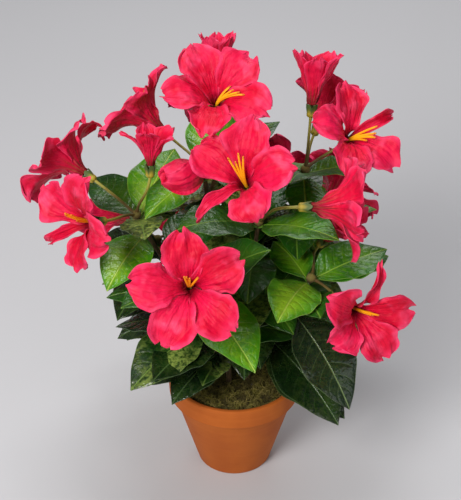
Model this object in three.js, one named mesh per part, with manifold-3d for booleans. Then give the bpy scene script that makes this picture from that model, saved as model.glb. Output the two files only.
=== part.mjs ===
// A potted hibiscus bush: a made plant with fabric leaves and blooms on wired stems, in a clay pot.
// Millimetres and degrees, +Z up. +X is to the right of someone who looks along +Y, and the
// origin is the middle of the pot's flat underside.
import * as THREE from 'three';
import { mergeVertices } from 'three/addons/utils/BufferGeometryUtils.js';
import Module from 'manifold-3d';

// Driving dimensions
const GAP = 0.3;
const FINEST = 0.02;
const POT = {
  height: 96, bandHeight: 20, rimRadius: 60, bandFootRadius: 59.3, shoulderRadius: 55.2,
  baseRadius: 33.6, mouthRadius: 55.2, innerBaseRadius: 29, floor: 6, lip: 1.6, segments: 30,
};

// The moss is domed: each point of the dome is a share of the mouth's radius, then a height
const MOSS = { wallGap: 0.33, edgeHeight: 86, dome: [[0.72, 90], [0.4, 91.5]], crownHeight: 92 };

const STEM = {
  footRadius: 2.9, tipRadius: 1.7, sides: 6, steps: 8, socketDepth: 24, freeStart: 3, upright: 0.3,
  knuckle: 4.2, lastWhorl: 6,
};
const LEAF = {
  thickness: 1.4, petiole: 0.1, petioleWidth: 2.2, slenderness: 0.5, bias: 0.82, fold: 0.22, droop: 34,
};
const PETAL = {
  thickness: 1.4, slenderness: 0.76, swell: [0.06, 0.84], bias: 1.15, rolledShare: 0.3, rolledTurn: 22,
  rootRadius: 2.6, rootAngle: 15, lean: 0.12, cup: 0.24, tipRound: 0.12, fifth: 0.68, count: 5,
};
const BUD = { width: 0.78, swell: [0.07, 0.92], bias: 0.85, sides: 7, steps: 6 };
const STALK = { radius: 1.2, sides: 4, steps: 4, follow: 0.2, bow: 0.4, sunk: 4 };
const CALYX = { length: 13, footRadius: 2.4, rimRadius: 6, sides: 6, mouth: 10.5 };
const STAMENS = { length: 34, rootRadius: 0.9, tipRadius: 1.4, sides: 4, lean: 0.12 };

// The most that chance moves a leaf or a petal: degrees, and a share of its length
const CHANCE = {
  leafHeading: 9, leafRise: 13, leafDroop: 16, leafLength: 0.06, petalTurn: 5, petalOpen: 6, petalLength: 0.05,
};

// How close a leaf may come to another mass, and the swings and lifts that are tried to find it room
const ROOM = { clear: 3, swings: [0, 10, -10, 20, -20, 30, -30, 45, -45], lifts: [0, 12, -12, 24] };

// Where a blade is measured: across from edge to edge, and along from root to tip
const ACROSS = [-1, -0.5, 0, 0.5, 1];
const ALONG = [0.2, 0.32, 0.44, 0.56, 0.68, 0.8, 0.92, 1];
const LEAF_STATIONS = [0, 0.11, 0.32, 0.58, 0.83, 1];
const PETAL_STATIONS = [0, 0.32, 0.66, 0.93, 1];

// Each stem: its foot in the moss, the point it bends towards, its tip, where its mass of leaves
// begins, and its whorls: [place on the stem, leaves, first heading, step, rise, leaf length]
const STEMS = {
  left: {
    foot: [-15, 3], bend: [-40, 2, 165], tip: [-83, 0, 262], massFrom: 0.4,
    whorls: [
      [1, 2, 21, 57, 24, 84], [1, 1, 130, 0, 23, 74], [1, 1, -112, 0, 35, 66],
      [0.9, 2, -113, 160, 9, 78], [0.75, 2, -118, -100, 7, 80], [0.72, 1, -33, 0, 36, 80],
      [0.62, 3, -140, 100, 10, 66], [0.46, 3, 160, -80, 0, 76],
    ],
  },
  centre: {
    foot: [6, -1], bend: [10, -10, 180], tip: [20, -20, 268], massFrom: 0.38,
    whorls: [
      [1, 1, -144, 0, 36, 86], [1, 1, -41, 0, 32, 88], [1, 2, 66, 50, 34, 78],
      [0.84, 4, -85, 90, 16, 76], [0.66, 4, -40, 90, 10, 74], [0.52, 4, -80, 90, 4, 72],
      [0.42, 3, -90, 110, 0, 62],
    ],
  },
  top: {
    foot: [-6, 8], bend: [-16, 16, 190], tip: [-26, 20, 296], massFrom: 0.42,
    whorls: [
      [1, 2, 125, -80, 44, 84], [1, 2, -130, 80, 10, 76],
      [0.82, 4, 80, 90, 16, 78], [0.66, 4, 20, 90, 8, 76], [0.54, 3, 150, -60, 0, 74],
      [0.46, 3, -100, 70, 0, 70],
    ],
  },
  right: {
    foot: [12, 9], bend: [36, 22, 180], tip: [60, 30, 289], massFrom: 0.4,
    whorls: [
      [1, 1, -105, 0, 40, 60], [1, 3, -60, 85, 2, 60],
      [0.84, 4, -60, 90, 10, 72], [0.68, 4, -30, 90, 4, 68], [0.52, 4, -80, 90, 0, 74],
    ],
  },
  low_right: {
    foot: [12, -10], bend: [34, -36, 150], tip: [63, -50, 232], massFrom: 0.3,
    whorls: [
      [1, 1, 107, 0, 22, 62], [1, 1, -111, 0, 26, 80], [1, 2, 33, 32, 14, 86], [0.86, 1, -58, 0, 38, 70],
      [0.76, 1, -50, 0, -22, 98], [0.76, 1, -121, 0, 21, 80], [0.5, 1, -48, 0, -9, 100],
      [0.4, 1, -38, 0, -3, 100], [0.66, 3, 15, 55, 6, 84], [0.46, 2, 10, 60, -2, 86],
    ],
  },
  front_left: {
    foot: [-5, -15], bend: [-18, -38, 150], tip: [-33, -60, 226], massFrom: 0.3,
    whorls: [
      [1, 1, -58, 0, 4, 94], [1, 1, -17, 0, 59, 86], [1, 1, -137, 0, 35, 84], [1, 2, 45, 90, 14, 80],
      [0.7, 1, -136, 0, 3, 92], [0.6, 1, -125, 0, 20, 86], [0.72, 3, 172, -80, 8, 82],
      [0.46, 3, 195, -50, 0, 84], [0.42, 1, -128, 0, 4, 72],
      [0.38, 1, -80, 0, 22, 54],
    ],
  },
  back: {
    foot: [1, 17], bend: [0, 50, 170], tip: [2, 82, 252], massFrom: 0.32,
    whorls: [
      [1, 5, 90, 72, 22, 80], [0.84, 4, 45, 90, 12, 82], [0.66, 4, 90, 90, 4, 82],
      [0.5, 4, 45, 90, 0, 82], [0.36, 3, 60, 60, -4, 84],
    ],
  },
  back_left: {
    foot: [-14, 14], bend: [-46, 48, 140], tip: [-70, 70, 192], massFrom: 0.3,
    whorls: [
      [1, 5, 150, 72, 16, 66], [0.78, 4, 100, 90, 8, 66], [0.58, 4, 135, 90, 2, 76],
      [0.4, 3, 80, 60, -2, 76],
    ],
  },
  back_right: {
    foot: [17, 20], bend: [46, 54, 150], tip: [60, 74, 222], massFrom: 0.3,
    whorls: [
      [1, 5, 60, 72, 18, 72], [0.8, 4, 0, 90, 8, 74], [0.62, 4, 45, 90, 2, 82],
      [0.44, 4, -20, 50, -4, 84],
    ],
  },
};

// Each bloom: its stem, the foot of its collar, the way it faces (heading, rise), the turn of its
// first petal, the petals' length, how far they open (0 is a closed bud), and the rolled petals
const BLOOMS = {
  far_left: ['left', [-117, 8, 291], 152, 27, 90, 57, 106, []],
  left: ['left', [-106, -30, 275], -137, 18, 80, 55, 98, [2]],
  left_upright: ['left', [-70, -2, 300], 80, 74, 10, 36, 38, [0, 2]],
  top_left: ['top', [-54, 45, 311], 160, 37, 60, 58, 82, []],
  top: ['top', [-16, 5, 356], -86, 58, 115, 55, 100, []],
  top_bud: ['top', [-13, 56, 350], 92, 74, 60, 40, 20, []],
  bud: ['centre', [-18, -20, 312], -153, 15, 0, 38, 0, []],
  centre: ['centre', [12, -52, 316], -113, 49, 90, 59, 100, [2]],
  right_side: ['centre', [50, -62, 308], 2, -1, 32, 56, 80, []],
  right_upright: ['right', [63, 28, 340], 75, 70, 100, 46, 30, []],
  right_back: ['right', [68, 56, 308], 60, 36, 90, 48, 66, []],
  right: ['right', [90, 38, 308], -58, 46, 80, 53, 98, [4]],
  right_hidden: ['low_right', [72, -4, 234], -30, 55, 60, 42, 44, []],
  low_right: ['low_right', [91, -58, 212], -63, 12, 70, 55, 98, [0]],
  front: ['front_left', [-35, -110, 266], -90, 29, 100, 57, 108, []],
  back_high: ['back', [-14, 92, 276], 90, 40, 90, 56, 94, []],
  back: ['back', [30, 108, 214], 78, 16, 90, 54, 94, [2]],
  back_left: ['back_left', [-90, 92, 192], 140, 8, 80, 50, 94, [3]],
  back_low: ['back_left', [-46, 106, 178], 108, 14, 60, 52, 94, []],
  back_right: ['back_right', [80, 92, 214], 48, 14, 90, 54, 96, [1]],
};

const MATERIALS = {
  clay: { color: 0xc9662f, roughness: 0.85, metalness: 0 },
  moss: { color: 0x5f5a2c, roughness: 1, metalness: 0 },
  stem: { color: 0x5d4526, roughness: 0.8, metalness: 0 },
  leaf: { color: 0x2f6b1e, roughness: 0.4, metalness: 0 },
  bloom: { color: 0xe0193c, roughness: 0.75, metalness: 0 },
};

const wasm = await Module();
wasm.setup();

const UP = new THREE.Vector3(0, 0, 1);
const radians = THREE.MathUtils.degToRad;

// Small helpers

// A repeatable row of numbers from 0 to 1, one row for each seed
function dice(seed) {
  let state = seed * 7919 + 17;
  return () => {
    state = (state * 16807) % 2147483647;
    return state / 2147483647;
  };
}

function heading(degrees, rise = 0) {
  const flat = Math.cos(radians(rise));
  return new THREE.Vector3(
    flat * Math.cos(radians(degrees)),
    flat * Math.sin(radians(degrees)),
    Math.sin(radians(rise)),
  );
}

// Where a line of the given length gets to when its angle turns evenly from one value to another:
// [distance along the first axis, distance along the second axis, the angle there]
function arc(length, from, to, share) {
  const turn = radians(to - from);
  const start = radians(from);
  const end = start + turn * share;
  if (Math.abs(turn) < 1e-6) {
    return [length * share * Math.cos(start), length * share * Math.sin(start), end];
  }
  const radius = length / turn;
  return [radius * (Math.sin(end) - Math.sin(start)), radius * (Math.cos(start) - Math.cos(end)), end];
}

function toSolid(geometry) {
  const bare = geometry.clone();
  bare.deleteAttribute('normal');
  bare.deleteAttribute('uv');
  const merged = mergeVertices(bare, 1e-4);
  return new wasm.Manifold(new wasm.Mesh({
    numProp: 3,
    vertProperties: new Float32Array(merged.attributes.position.array),
    triVerts: new Uint32Array(merged.index.array),
  }));
}

function toGeometry(solid) {
  const mesh = solid.asOriginal().simplify(FINEST).getMesh();
  const geometry = new THREE.BufferGeometry();
  geometry.setAttribute('position', new THREE.BufferAttribute(mesh.vertProperties, 3));
  geometry.setIndex(new THREE.BufferAttribute(mesh.triVerts, 1));
  geometry.computeVertexNormals();
  return geometry;
}

function join(solids) {
  return solids.reduce((whole, piece) => whole.add(piece));
}

// Move every vertex of a geometry to the place that a function gives for it
function bend(geometry, place) {
  const position = geometry.attributes.position;
  for (let i = 0; i < position.count; i += 1) {
    const to = place(position.getX(i), position.getY(i), position.getZ(i));
    position.setXYZ(i, to.x, to.y, to.z);
  }
  return geometry;
}

// Tubes and blades

// A direction that no stem or stalk follows, so that a frame on it never flips over
const AWAY = new THREE.Vector3(0.31, 0.95, 0.02);

// A frame that rides along a curve without twisting: the point, and two directions across it
function frameOn(curve, share) {
  const along = curve.getTangentAt(share);
  const side = AWAY.clone().cross(along).normalize();
  const front = along.clone().cross(side);
  return { point: curve.getPointAt(share), side, front };
}

// A closed tube along part of a curve, with the radius that radiusAt gives from 0 to 1
function limb(curve, from, to, radiusAt, sides, steps) {
  const tube = new THREE.CylinderGeometry(1, 1, 1, sides, steps);
  return toSolid(bend(tube, (x, y, z) => {
    const share = THREE.MathUtils.clamp(y + 0.5, 0, 1);
    const radius = radiusAt(share);
    const { point, side, front } = frameOn(curve, THREE.MathUtils.lerp(from, to, share));
    return point.addScaledVector(side, z * radius).addScaledVector(front, x * radius);
  }));
}

function taper(start, end) {
  return (share) => THREE.MathUtils.lerp(start, end, share);
}

// A straight rod from a point along a direction
function rod(from, direction, length, radiusAt, sides, steps = 1) {
  const line = new THREE.LineCurve3(from, from.clone().addScaledVector(direction, length));
  return limb(line, 0, 1, radiusAt, sides, steps);
}

// A thin lens, pointed at its root and tip, in the shape that place(across, along, layer) gives,
// where across and layer are -1, 0 or 1. Both of its faces are split along the same diagonals,
// which run from the edges to the middle, so however it bends they never pass through each other.
function blade(stations, place) {
  const corners = [[-1, 0], [0, 1], [1, 0], [0, -1]];
  const rings = stations.slice(1, -1).flatMap((along) => (
    corners.map(([across, layer]) => place(across, along, layer))
  ));
  const root = rings.length;
  const tip = root + 1;
  const faces = corners.flatMap((_, side) => {
    const next = (side + 1) % corners.length;
    const ends = [[root, side, next], [root - corners.length + side, tip, root - corners.length + next]];
    const between = stations.slice(2, -1).flatMap((along, ring) => {
      const [a, b] = [side, next].map((corner) => corner + ring * corners.length);
      const [c, d] = [a, b].map((corner) => corner + corners.length);
      return side % 2 === 0 ? [[a, d, b], [a, c, d]] : [[a, c, b], [b, c, d]];
    });
    return [...ends, ...between];
  });
  const geometry = new THREE.BufferGeometry();
  const points = [...rings, place(0, stations[0], 0), place(0, stations.at(-1), 0)];
  geometry.setFromPoints(points).setIndex(faces.flat());
  return toSolid(geometry);
}

// Half the width of a leaf: a petiole, then a blade with a round base and a pointed tip
function leafHalfWidth(length, along) {
  const share = Math.max(along - LEAF.petiole, 0) / (1 - LEAF.petiole);
  const full = (length * LEAF.slenderness) / 2;
  return Math.max(full * Math.sin(Math.PI * share ** LEAF.bias), LEAF.petioleWidth / 2);
}

// A leaf starts at its root, runs out at its heading and droops, with its two halves folded up
function leafPlace(leaf) {
  const out = heading(leaf.heading);
  const side = new THREE.Vector3(-out.y, out.x, 0);
  return (across, along, layer) => {
    const [reach, climb, angle] = arc(leaf.length, leaf.rise, leaf.rise - leaf.droop, along);
    const half = leafHalfWidth(leaf.length, along);
    const normal = out.clone().multiplyScalar(-Math.sin(angle)).setZ(Math.cos(angle));
    return leaf.root.clone()
      .addScaledVector(out, reach)
      .addScaledVector(UP, climb)
      .addScaledVector(side, across * half)
      .addScaledVector(normal, Math.abs(across) * half * LEAF.fold + (layer * LEAF.thickness) / 2);
  };
}

// Half the width of a petal: narrow at its root, wide and blunt at its end
function petalHalfWidth(petal, along) {
  const wide = (petal.length * PETAL.slenderness * petal.share) / 2;
  const phase = THREE.MathUtils.lerp(...PETAL.swell, along ** PETAL.bias);
  return wide * Math.sin(Math.PI * phase);
}

// A petal leaves the calyx close to the bloom's axis and turns outward, dished across its width,
// with one edge over its neighbour's
function petalPlace(bloom, petal) {
  const out = bloom.right.clone().multiplyScalar(Math.cos(petal.angle))
    .addScaledVector(bloom.up, Math.sin(petal.angle));
  const side = bloom.facing.clone().cross(out);
  return (across, along, layer) => {
    const reached = along * (1 - PETAL.tipRound * across * across);
    const [forward, outward, angle] = arc(petal.length, PETAL.rootAngle, petal.open, reached);
    const radius = outward + PETAL.rootRadius;
    const fifth = PETAL.fifth * (radius - PETAL.thickness / 2);
    const half = Math.min(petalHalfWidth(petal, along), fifth);
    const inward = bloom.facing.clone().multiplyScalar(Math.sin(angle))
      .addScaledVector(out, -Math.cos(angle));
    const lift = half * (PETAL.cup * across * across + PETAL.lean * across) + (layer * PETAL.thickness) / 2;
    return bloom.mouth.clone()
      .addScaledVector(bloom.facing, forward)
      .addScaledVector(out, radius)
      .addScaledVector(side, across * half)
      .addScaledVector(inward, lift);
  };
}

function samples(place) {
  return ALONG.flatMap((along) => ACROSS.map((across) => place(across, along, 0)));
}

// The pot and its filling

// The wall's inner radius at a height, a straight line from the floor to the mouth
function innerRadius(height) {
  const share = (height - POT.floor) / (POT.height - POT.floor);
  return THREE.MathUtils.lerp(POT.innerBaseRadius, POT.mouthRadius, share);
}

function turned(profile) {
  const points = profile.map(([radius, height]) => new THREE.Vector2(radius, height));
  const lathe = new THREE.LatheGeometry(points, POT.segments);
  return toSolid(lathe.rotateX(Math.PI / 2));
}

function pot() {
  const shoulder = POT.height - POT.bandHeight;
  return turned([
    [0, 0],
    [POT.baseRadius, 0],
    [POT.shoulderRadius, shoulder],
    [POT.bandFootRadius, shoulder],
    [POT.rimRadius, POT.height - POT.lip],
    [POT.rimRadius - POT.lip, POT.height],
    [POT.mouthRadius + POT.lip, POT.height],
    [innerRadius(POT.height - POT.lip), POT.height - POT.lip],
    [POT.innerBaseRadius, POT.floor],
    [0, POT.floor],
  ]);
}

// The moss fills the pot and has a socket for the foot of each stem
function mossPlug(stems) {
  const plug = turned([
    [0, POT.floor + GAP],
    [innerRadius(POT.floor) - MOSS.wallGap, POT.floor + GAP],
    [innerRadius(MOSS.edgeHeight) - MOSS.wallGap, MOSS.edgeHeight],
    ...MOSS.dome.map(([share, height]) => [share * POT.mouthRadius, height]),
    [0, MOSS.crownHeight],
  ]);
  const bore = (STEM.footRadius + GAP) / Math.cos(Math.PI / STEM.sides);
  return stems.reduce((left, stem) => {
    const bottom = stem.foot.clone().addScaledVector(UP, -GAP);
    return left.subtract(rod(bottom, UP, 2 * STEM.socketDepth, taper(bore, bore), STEM.sides));
  }, plug);
}

// Stems, with the whorls of leaves that each of them carries

function layStem(name, index) {
  const plan = STEMS[name];
  const [x, y] = plan.foot;
  const foot = new THREE.Vector3(x, y, MOSS.crownHeight - STEM.socketDepth);
  const mouth = new THREE.Vector3(x, y, MOSS.crownHeight + STEM.freeStart);
  const tip = new THREE.Vector3(...plan.tip);
  const upright = new THREE.Vector3(x, y, THREE.MathUtils.lerp(mouth.z, tip.z, STEM.upright));
  const curve = new THREE.CurvePath();
  curve.add(new THREE.LineCurve3(foot, mouth));
  curve.add(new THREE.CubicBezierCurve3(mouth, upright, new THREE.Vector3(...plan.bend), tip));
  const radiusAt = (share) => THREE.MathUtils.lerp(STEM.footRadius, STEM.tipRadius, share);
  return { name, index, plan, foot, tip, curve, radiusAt, length: curve.getLength() };
}

function stemSolid(stem) {
  const end = stem.plan.massFrom;
  const steps = Math.ceil(STEM.steps * end);
  return limb(stem.curve, 0, end, taper(stem.radiusAt(0), stem.radiusAt(end)), STEM.sides, steps + 2);
}

function massStemSolid(stem) {
  const start = stem.plan.massFrom + GAP / stem.length;
  const steps = Math.ceil(STEM.steps * (1 - start));
  const narrowing = taper(stem.radiusAt(start), stem.radiusAt(1));
  const twig = limb(stem.curve, start, 1, narrowing, STEM.sides, steps);
  const knuckle = new THREE.SphereGeometry(STEM.knuckle, 6, 4).translate(...stem.tip);
  return twig.add(toSolid(knuckle));
}

// The leaves of a stem by rule: even steps round each whorl. The first leaf of a whorl grows as its
// row says and the others with a little chance.
function leafPlan(stem) {
  const roll = dice(stem.index + 1);
  return stem.plan.whorls.flatMap(([place, count, first, step, rise, length], whorl) => {
    const at = Math.min(place, 1 - STEM.lastWhorl / stem.length);
    return Array.from({ length: count }, (_, k) => {
      const chance = () => (k > 0 ? 2 * roll() - 1 : 0);
      return {
        stem,
        turn: k === 0 ? whorl : whorl + stem.plan.whorls.length,
        root: stem.curve.getPointAt(at),
        heading: first + k * step + CHANCE.leafHeading * chance(),
        rise: rise + CHANCE.leafRise * chance(),
        droop: LEAF.droop + CHANCE.leafDroop * chance(),
        length: length * (1 + CHANCE.leafLength * chance()),
      };
    });
  });
}

function near(points, others, stem) {
  return others.some((other) => (
    other.stem !== stem && points.some((point) => point.distanceToSquared(other.point) < ROOM.clear ** 2)
  ));
}

function apart(a, b) {
  return ['x', 'y', 'z'].some((axis, k) => a.max[k] < b.min[k] || b.max[k] < a.min[k]);
}

// Swing a leaf aside or lift it until it has room. Without room it is left out.
function findRoom(leaf, taken, built) {
  const own = `leaves_${leaf.stem.name}`;
  for (const lift of ROOM.lifts) {
    for (const swing of ROOM.swings) {
      const tried = { ...leaf, heading: leaf.heading + swing, rise: leaf.rise + lift };
      const points = samples(leafPlace(tried));
      if (near(points, taken, leaf.stem)) {
        continue;
      }
      const solid = blade(LEAF_STATIONS, leafPlace(tried));
      const box = solid.boundingBox();
      const touches = [...built].some(([name, other]) => (
        name !== own && !apart(box, other.solid.boundingBox()) && other.solid.intersect(solid).volume() > 0
      ));
      if (!touches) {
        return { solid, points };
      }
    }
  }
  return null;
}

// Blooms, each on a stalk of its own

function layBloom(name, index, stems) {
  const [stemName, footPlace, azimuth, rise, turn, length, open, rolled] = BLOOMS[name];
  const roll = dice(index + 101);
  const chance = () => 2 * roll() - 1;
  const stem = stems.find((one) => one.name === stemName);
  const foot = new THREE.Vector3(...footPlace);
  const facing = heading(azimuth, rise);
  const up = UP.clone().addScaledVector(facing, -facing.z).normalize();
  const right = up.clone().cross(facing);
  const mouth = foot.clone().addScaledVector(facing, CALYX.mouth);
  const petals = Array.from({ length: open > 0 ? PETAL.count : 0 }, (_, k) => ({
    angle: radians(turn + (k * 360) / PETAL.count + CHANCE.petalTurn * chance()),
    open: open + CHANCE.petalOpen * chance() + (rolled.includes(k) ? PETAL.rolledTurn : 0),
    length: length * (1 + CHANCE.petalLength * chance()),
    share: rolled.includes(k) ? PETAL.rolledShare : 1,
  }));
  return { name, foot, facing, up, right, mouth, length, petals, stalk: layStalk(stem, foot, facing) };
}

// A stalk leaves the stem's knuckle towards its bloom, arrives along the bloom's axis and ends
// inside the calyx
function layStalk(stem, foot, facing) {
  const toFoot = foot.clone().sub(stem.tip);
  const bow = STALK.bow * toFoot.length();
  const onward = stem.curve.getTangentAt(1);
  const leave = toFoot.normalize().addScaledVector(onward, STALK.follow).normalize();
  const start = stem.tip.clone().addScaledVector(leave, STEM.knuckle + GAP);
  return new THREE.CubicBezierCurve3(
    start,
    start.clone().addScaledVector(leave, bow),
    foot.clone().addScaledVector(facing, -bow),
    foot.clone().addScaledVector(facing, STALK.sunk),
  );
}

// A closed bud is one egg-shaped body
function closedBud(bloom) {
  const wide = (bloom.length * BUD.width) / 2;
  const swell = (share) => {
    const phase = THREE.MathUtils.lerp(...BUD.swell, share ** BUD.bias);
    return wide * Math.sin(Math.PI * phase);
  };
  return rod(bloom.mouth, bloom.facing, bloom.length, swell, BUD.sides, BUD.steps);
}

function openBloom(bloom) {
  const lean = bloom.facing.clone().addScaledVector(bloom.up, STAMENS.lean).normalize();
  const thickness = taper(STAMENS.rootRadius, STAMENS.tipRadius);
  return join([
    rod(bloom.mouth, lean, STAMENS.length, thickness, STAMENS.sides),
    ...bloom.petals.map((petal) => blade(PETAL_STATIONS, petalPlace(bloom, petal))),
  ]);
}

function bloomSolid(bloom) {
  return join([
    limb(bloom.stalk, 0, 1, taper(STALK.radius, STALK.radius), STALK.sides, STALK.steps),
    rod(bloom.foot, bloom.facing, CALYX.length, taper(CALYX.footRadius, CALYX.rimRadius), CALYX.sides),
    bloom.petals.length > 0 ? openBloom(bloom) : closedBud(bloom),
  ]);
}

// The points of a bloom that a leaf has to keep clear of
function bloomPoints(bloom) {
  const end = bloom.mouth.clone().addScaledVector(bloom.facing, bloom.length);
  const budAxis = new THREE.LineCurve3(bloom.mouth, end).getPoints(ALONG.length);
  return [
    ...bloom.stalk.getPoints(ALONG.length),
    ...bloom.petals.flatMap((petal) => samples(petalPlace(bloom, petal))),
    ...(bloom.petals.length > 0 ? [] : budAxis),
  ];
}

// Growing the plant

const stems = Object.keys(STEMS).map(layStem);
const blooms = Object.keys(BLOOMS).map((name, index) => layBloom(name, index, stems));

const taken = blooms.flatMap(bloomPoints).map((point) => ({ stem: null, point }));

const built = new Map();
stems.forEach((stem) => {
  built.set(`stem_${stem.name}`, { solid: stemSolid(stem), material: 'stem' });
  built.set(`leaves_${stem.name}`, { solid: massStemSolid(stem), material: 'leaf' });
});
blooms.forEach((bloom) => {
  built.set(`bloom_${bloom.name}`, { solid: bloomSolid(bloom), material: 'bloom' });
});
built.set('pot', { solid: pot(), material: 'clay' });
built.set('moss_plug', { solid: mossPlug(stems), material: 'moss' });

// The first leaf of every whorl grows before the others, and the outer whorls before the inner ones
const leaves = stems.flatMap(leafPlan).sort((a, b) => a.turn - b.turn);
leaves.forEach((leaf) => {
  const found = findRoom(leaf, taken, built);
  if (!found) {
    return;
  }
  taken.push(...found.points.map((point) => ({ stem: leaf.stem, point })));
  const mass = built.get(`leaves_${leaf.stem.name}`);
  mass.solid = mass.solid.add(found.solid);
});

const plant = new THREE.Group();
built.forEach(({ solid, material }, name) => {
  const mesh = new THREE.Mesh(toGeometry(solid), new THREE.MeshStandardMaterial(MATERIALS[material]));
  mesh.name = name;
  plant.add(mesh);
});

export default plant;
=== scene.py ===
# %% [markdown]
# # A hibiscus bush in a clay pot
# The real object is an artificial plant: blooms of pressed red fabric and glossy coated leaves on
# wrapped wire stems, which stand in a small clay pot under a cover of dried moss. The solids of
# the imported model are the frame. They hold the true place and size of every part, and this script
# dresses each of them with finer shapes and finishes in the same place.

# %% Load the frame
import math

import bpy
import numpy as np
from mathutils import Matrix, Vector


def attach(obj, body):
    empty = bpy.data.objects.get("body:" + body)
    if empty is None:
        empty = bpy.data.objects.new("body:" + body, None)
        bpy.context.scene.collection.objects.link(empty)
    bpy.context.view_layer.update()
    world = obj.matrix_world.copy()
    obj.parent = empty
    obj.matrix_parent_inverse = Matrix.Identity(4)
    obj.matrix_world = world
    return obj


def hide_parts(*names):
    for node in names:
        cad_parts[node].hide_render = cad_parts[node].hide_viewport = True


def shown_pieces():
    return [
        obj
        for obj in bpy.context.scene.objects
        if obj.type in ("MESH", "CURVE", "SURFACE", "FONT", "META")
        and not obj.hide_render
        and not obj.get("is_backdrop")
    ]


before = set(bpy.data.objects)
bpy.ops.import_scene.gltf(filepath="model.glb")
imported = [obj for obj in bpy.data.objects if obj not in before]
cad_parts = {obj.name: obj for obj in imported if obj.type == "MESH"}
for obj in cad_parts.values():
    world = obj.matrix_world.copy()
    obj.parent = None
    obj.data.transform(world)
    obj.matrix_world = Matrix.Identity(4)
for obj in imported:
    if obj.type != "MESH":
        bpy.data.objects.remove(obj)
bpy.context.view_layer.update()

# %% [markdown]
# ## Stems
# Nine wires wrapped in brown tape rise straight out of the moss and then lean outward. Such lines
# could be drawn by hand as curve objects. Here they come from a table of a few numbers for each
# stem, because the solids were grown from the same table and the lines then run inside them.
# Sizes are in millimetres and degrees, and become metres only when a mesh is made.

# %% Table of the stems
# A stem has its foot, its bend, its tip, the share of its length where its leaves begin, and its
# whorls of leaves. A whorl is the share of the length where it sits, the number of its leaves, the
# heading of the first, the step to the next, their rise above level and their length.
MM = 0.001
STEMS = {
    "left": ([-15, 3], [-40, 2, 165], [-83, 0, 262], 0.4, [
        (1, 2, 21, 57, 24, 84), (1, 1, 130, 0, 23, 74), (1, 1, -112, 0, 35, 66),
        (0.9, 2, -113, 160, 9, 78), (0.75, 2, -118, -100, 7, 80), (0.72, 1, -33, 0, 36, 80),
        (0.62, 3, -140, 100, 10, 66), (0.46, 3, 160, -80, 0, 76),
    ]),
    "centre": ([6, -1], [10, -10, 180], [20, -20, 268], 0.38, [
        (1, 1, -144, 0, 36, 86), (1, 1, -41, 0, 32, 88), (1, 2, 66, 50, 34, 78),
        (0.84, 4, -85, 90, 16, 76), (0.66, 4, -40, 90, 10, 74), (0.52, 4, -80, 90, 4, 72),
        (0.42, 3, -90, 110, 0, 62),
    ]),
    "top": ([-6, 8], [-16, 16, 190], [-26, 20, 296], 0.42, [
        (1, 2, 125, -80, 44, 84), (1, 2, -130, 80, 10, 76), (0.82, 4, 80, 90, 16, 78),
        (0.66, 4, 20, 90, 8, 76), (0.54, 3, 150, -60, 0, 74), (0.46, 3, -100, 70, 0, 70),
    ]),
    "right": ([12, 9], [36, 22, 180], [60, 30, 289], 0.4, [
        (1, 1, -105, 0, 40, 60), (1, 3, -60, 85, 2, 60), (0.84, 4, -60, 90, 10, 72),
        (0.68, 4, -30, 90, 4, 68), (0.52, 4, -80, 90, 0, 74),
    ]),
    "low_right": ([12, -10], [34, -36, 150], [63, -50, 232], 0.3, [
        (1, 1, 107, 0, 22, 62), (1, 1, -111, 0, 26, 80), (1, 2, 33, 32, 14, 86),
        (0.86, 1, -58, 0, 38, 70), (0.76, 1, -50, 0, -22, 98), (0.76, 1, -121, 0, 21, 80),
        (0.5, 1, -48, 0, -9, 100), (0.4, 1, -38, 0, -3, 100), (0.66, 3, 15, 55, 6, 84),
        (0.46, 2, 10, 60, -2, 86),
    ]),
    "front_left": ([-5, -15], [-18, -38, 150], [-33, -60, 226], 0.3, [
        (1, 1, -58, 0, 4, 94), (1, 1, -17, 0, 59, 86), (1, 1, -137, 0, 35, 84),
        (1, 2, 45, 90, 14, 80), (0.7, 1, -136, 0, 3, 92), (0.6, 1, -125, 0, 20, 86),
        (0.72, 3, 172, -80, 8, 82), (0.46, 3, 195, -50, 0, 84), (0.42, 1, -128, 0, 4, 72),
        (0.38, 1, -80, 0, 22, 54),
    ]),
    "back": ([1, 17], [0, 50, 170], [2, 82, 252], 0.32, [
        (1, 5, 90, 72, 22, 80), (0.84, 4, 45, 90, 12, 82), (0.66, 4, 90, 90, 4, 82),
        (0.5, 4, 45, 90, 0, 82), (0.36, 3, 60, 60, -4, 84),
    ]),
    "back_left": ([-14, 14], [-46, 48, 140], [-70, 70, 192], 0.3, [
        (1, 5, 150, 72, 16, 66), (0.78, 4, 100, 90, 8, 66), (0.58, 4, 135, 90, 2, 76),
        (0.4, 3, 80, 60, -2, 76),
    ]),
    "back_right": ([17, 20], [46, 54, 150], [60, 74, 222], 0.3, [
        (1, 5, 60, 72, 18, 72), (0.8, 4, 0, 90, 8, 74), (0.62, 4, 45, 90, 2, 82),
        (0.44, 4, -20, 50, -4, 84),
    ]),
}
print("stems in the table:", len(STEMS))

# %% Smooth lines
UP = np.array([0.0, 0.0, 1.0])


def unit(vector):
    return vector / np.linalg.norm(vector)


def bow(controls, count):
    """Points on the curve that leaves the first of four controls towards the second and comes
    to the fourth from the third."""
    a, b, c, d = (np.array(control, float) for control in controls)
    t = np.linspace(0, 1, count)[:, None]
    return a * (1 - t) ** 3 + 3 * b * t * (1 - t) ** 2 + 3 * c * t**2 * (1 - t) + d * t**3


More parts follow.
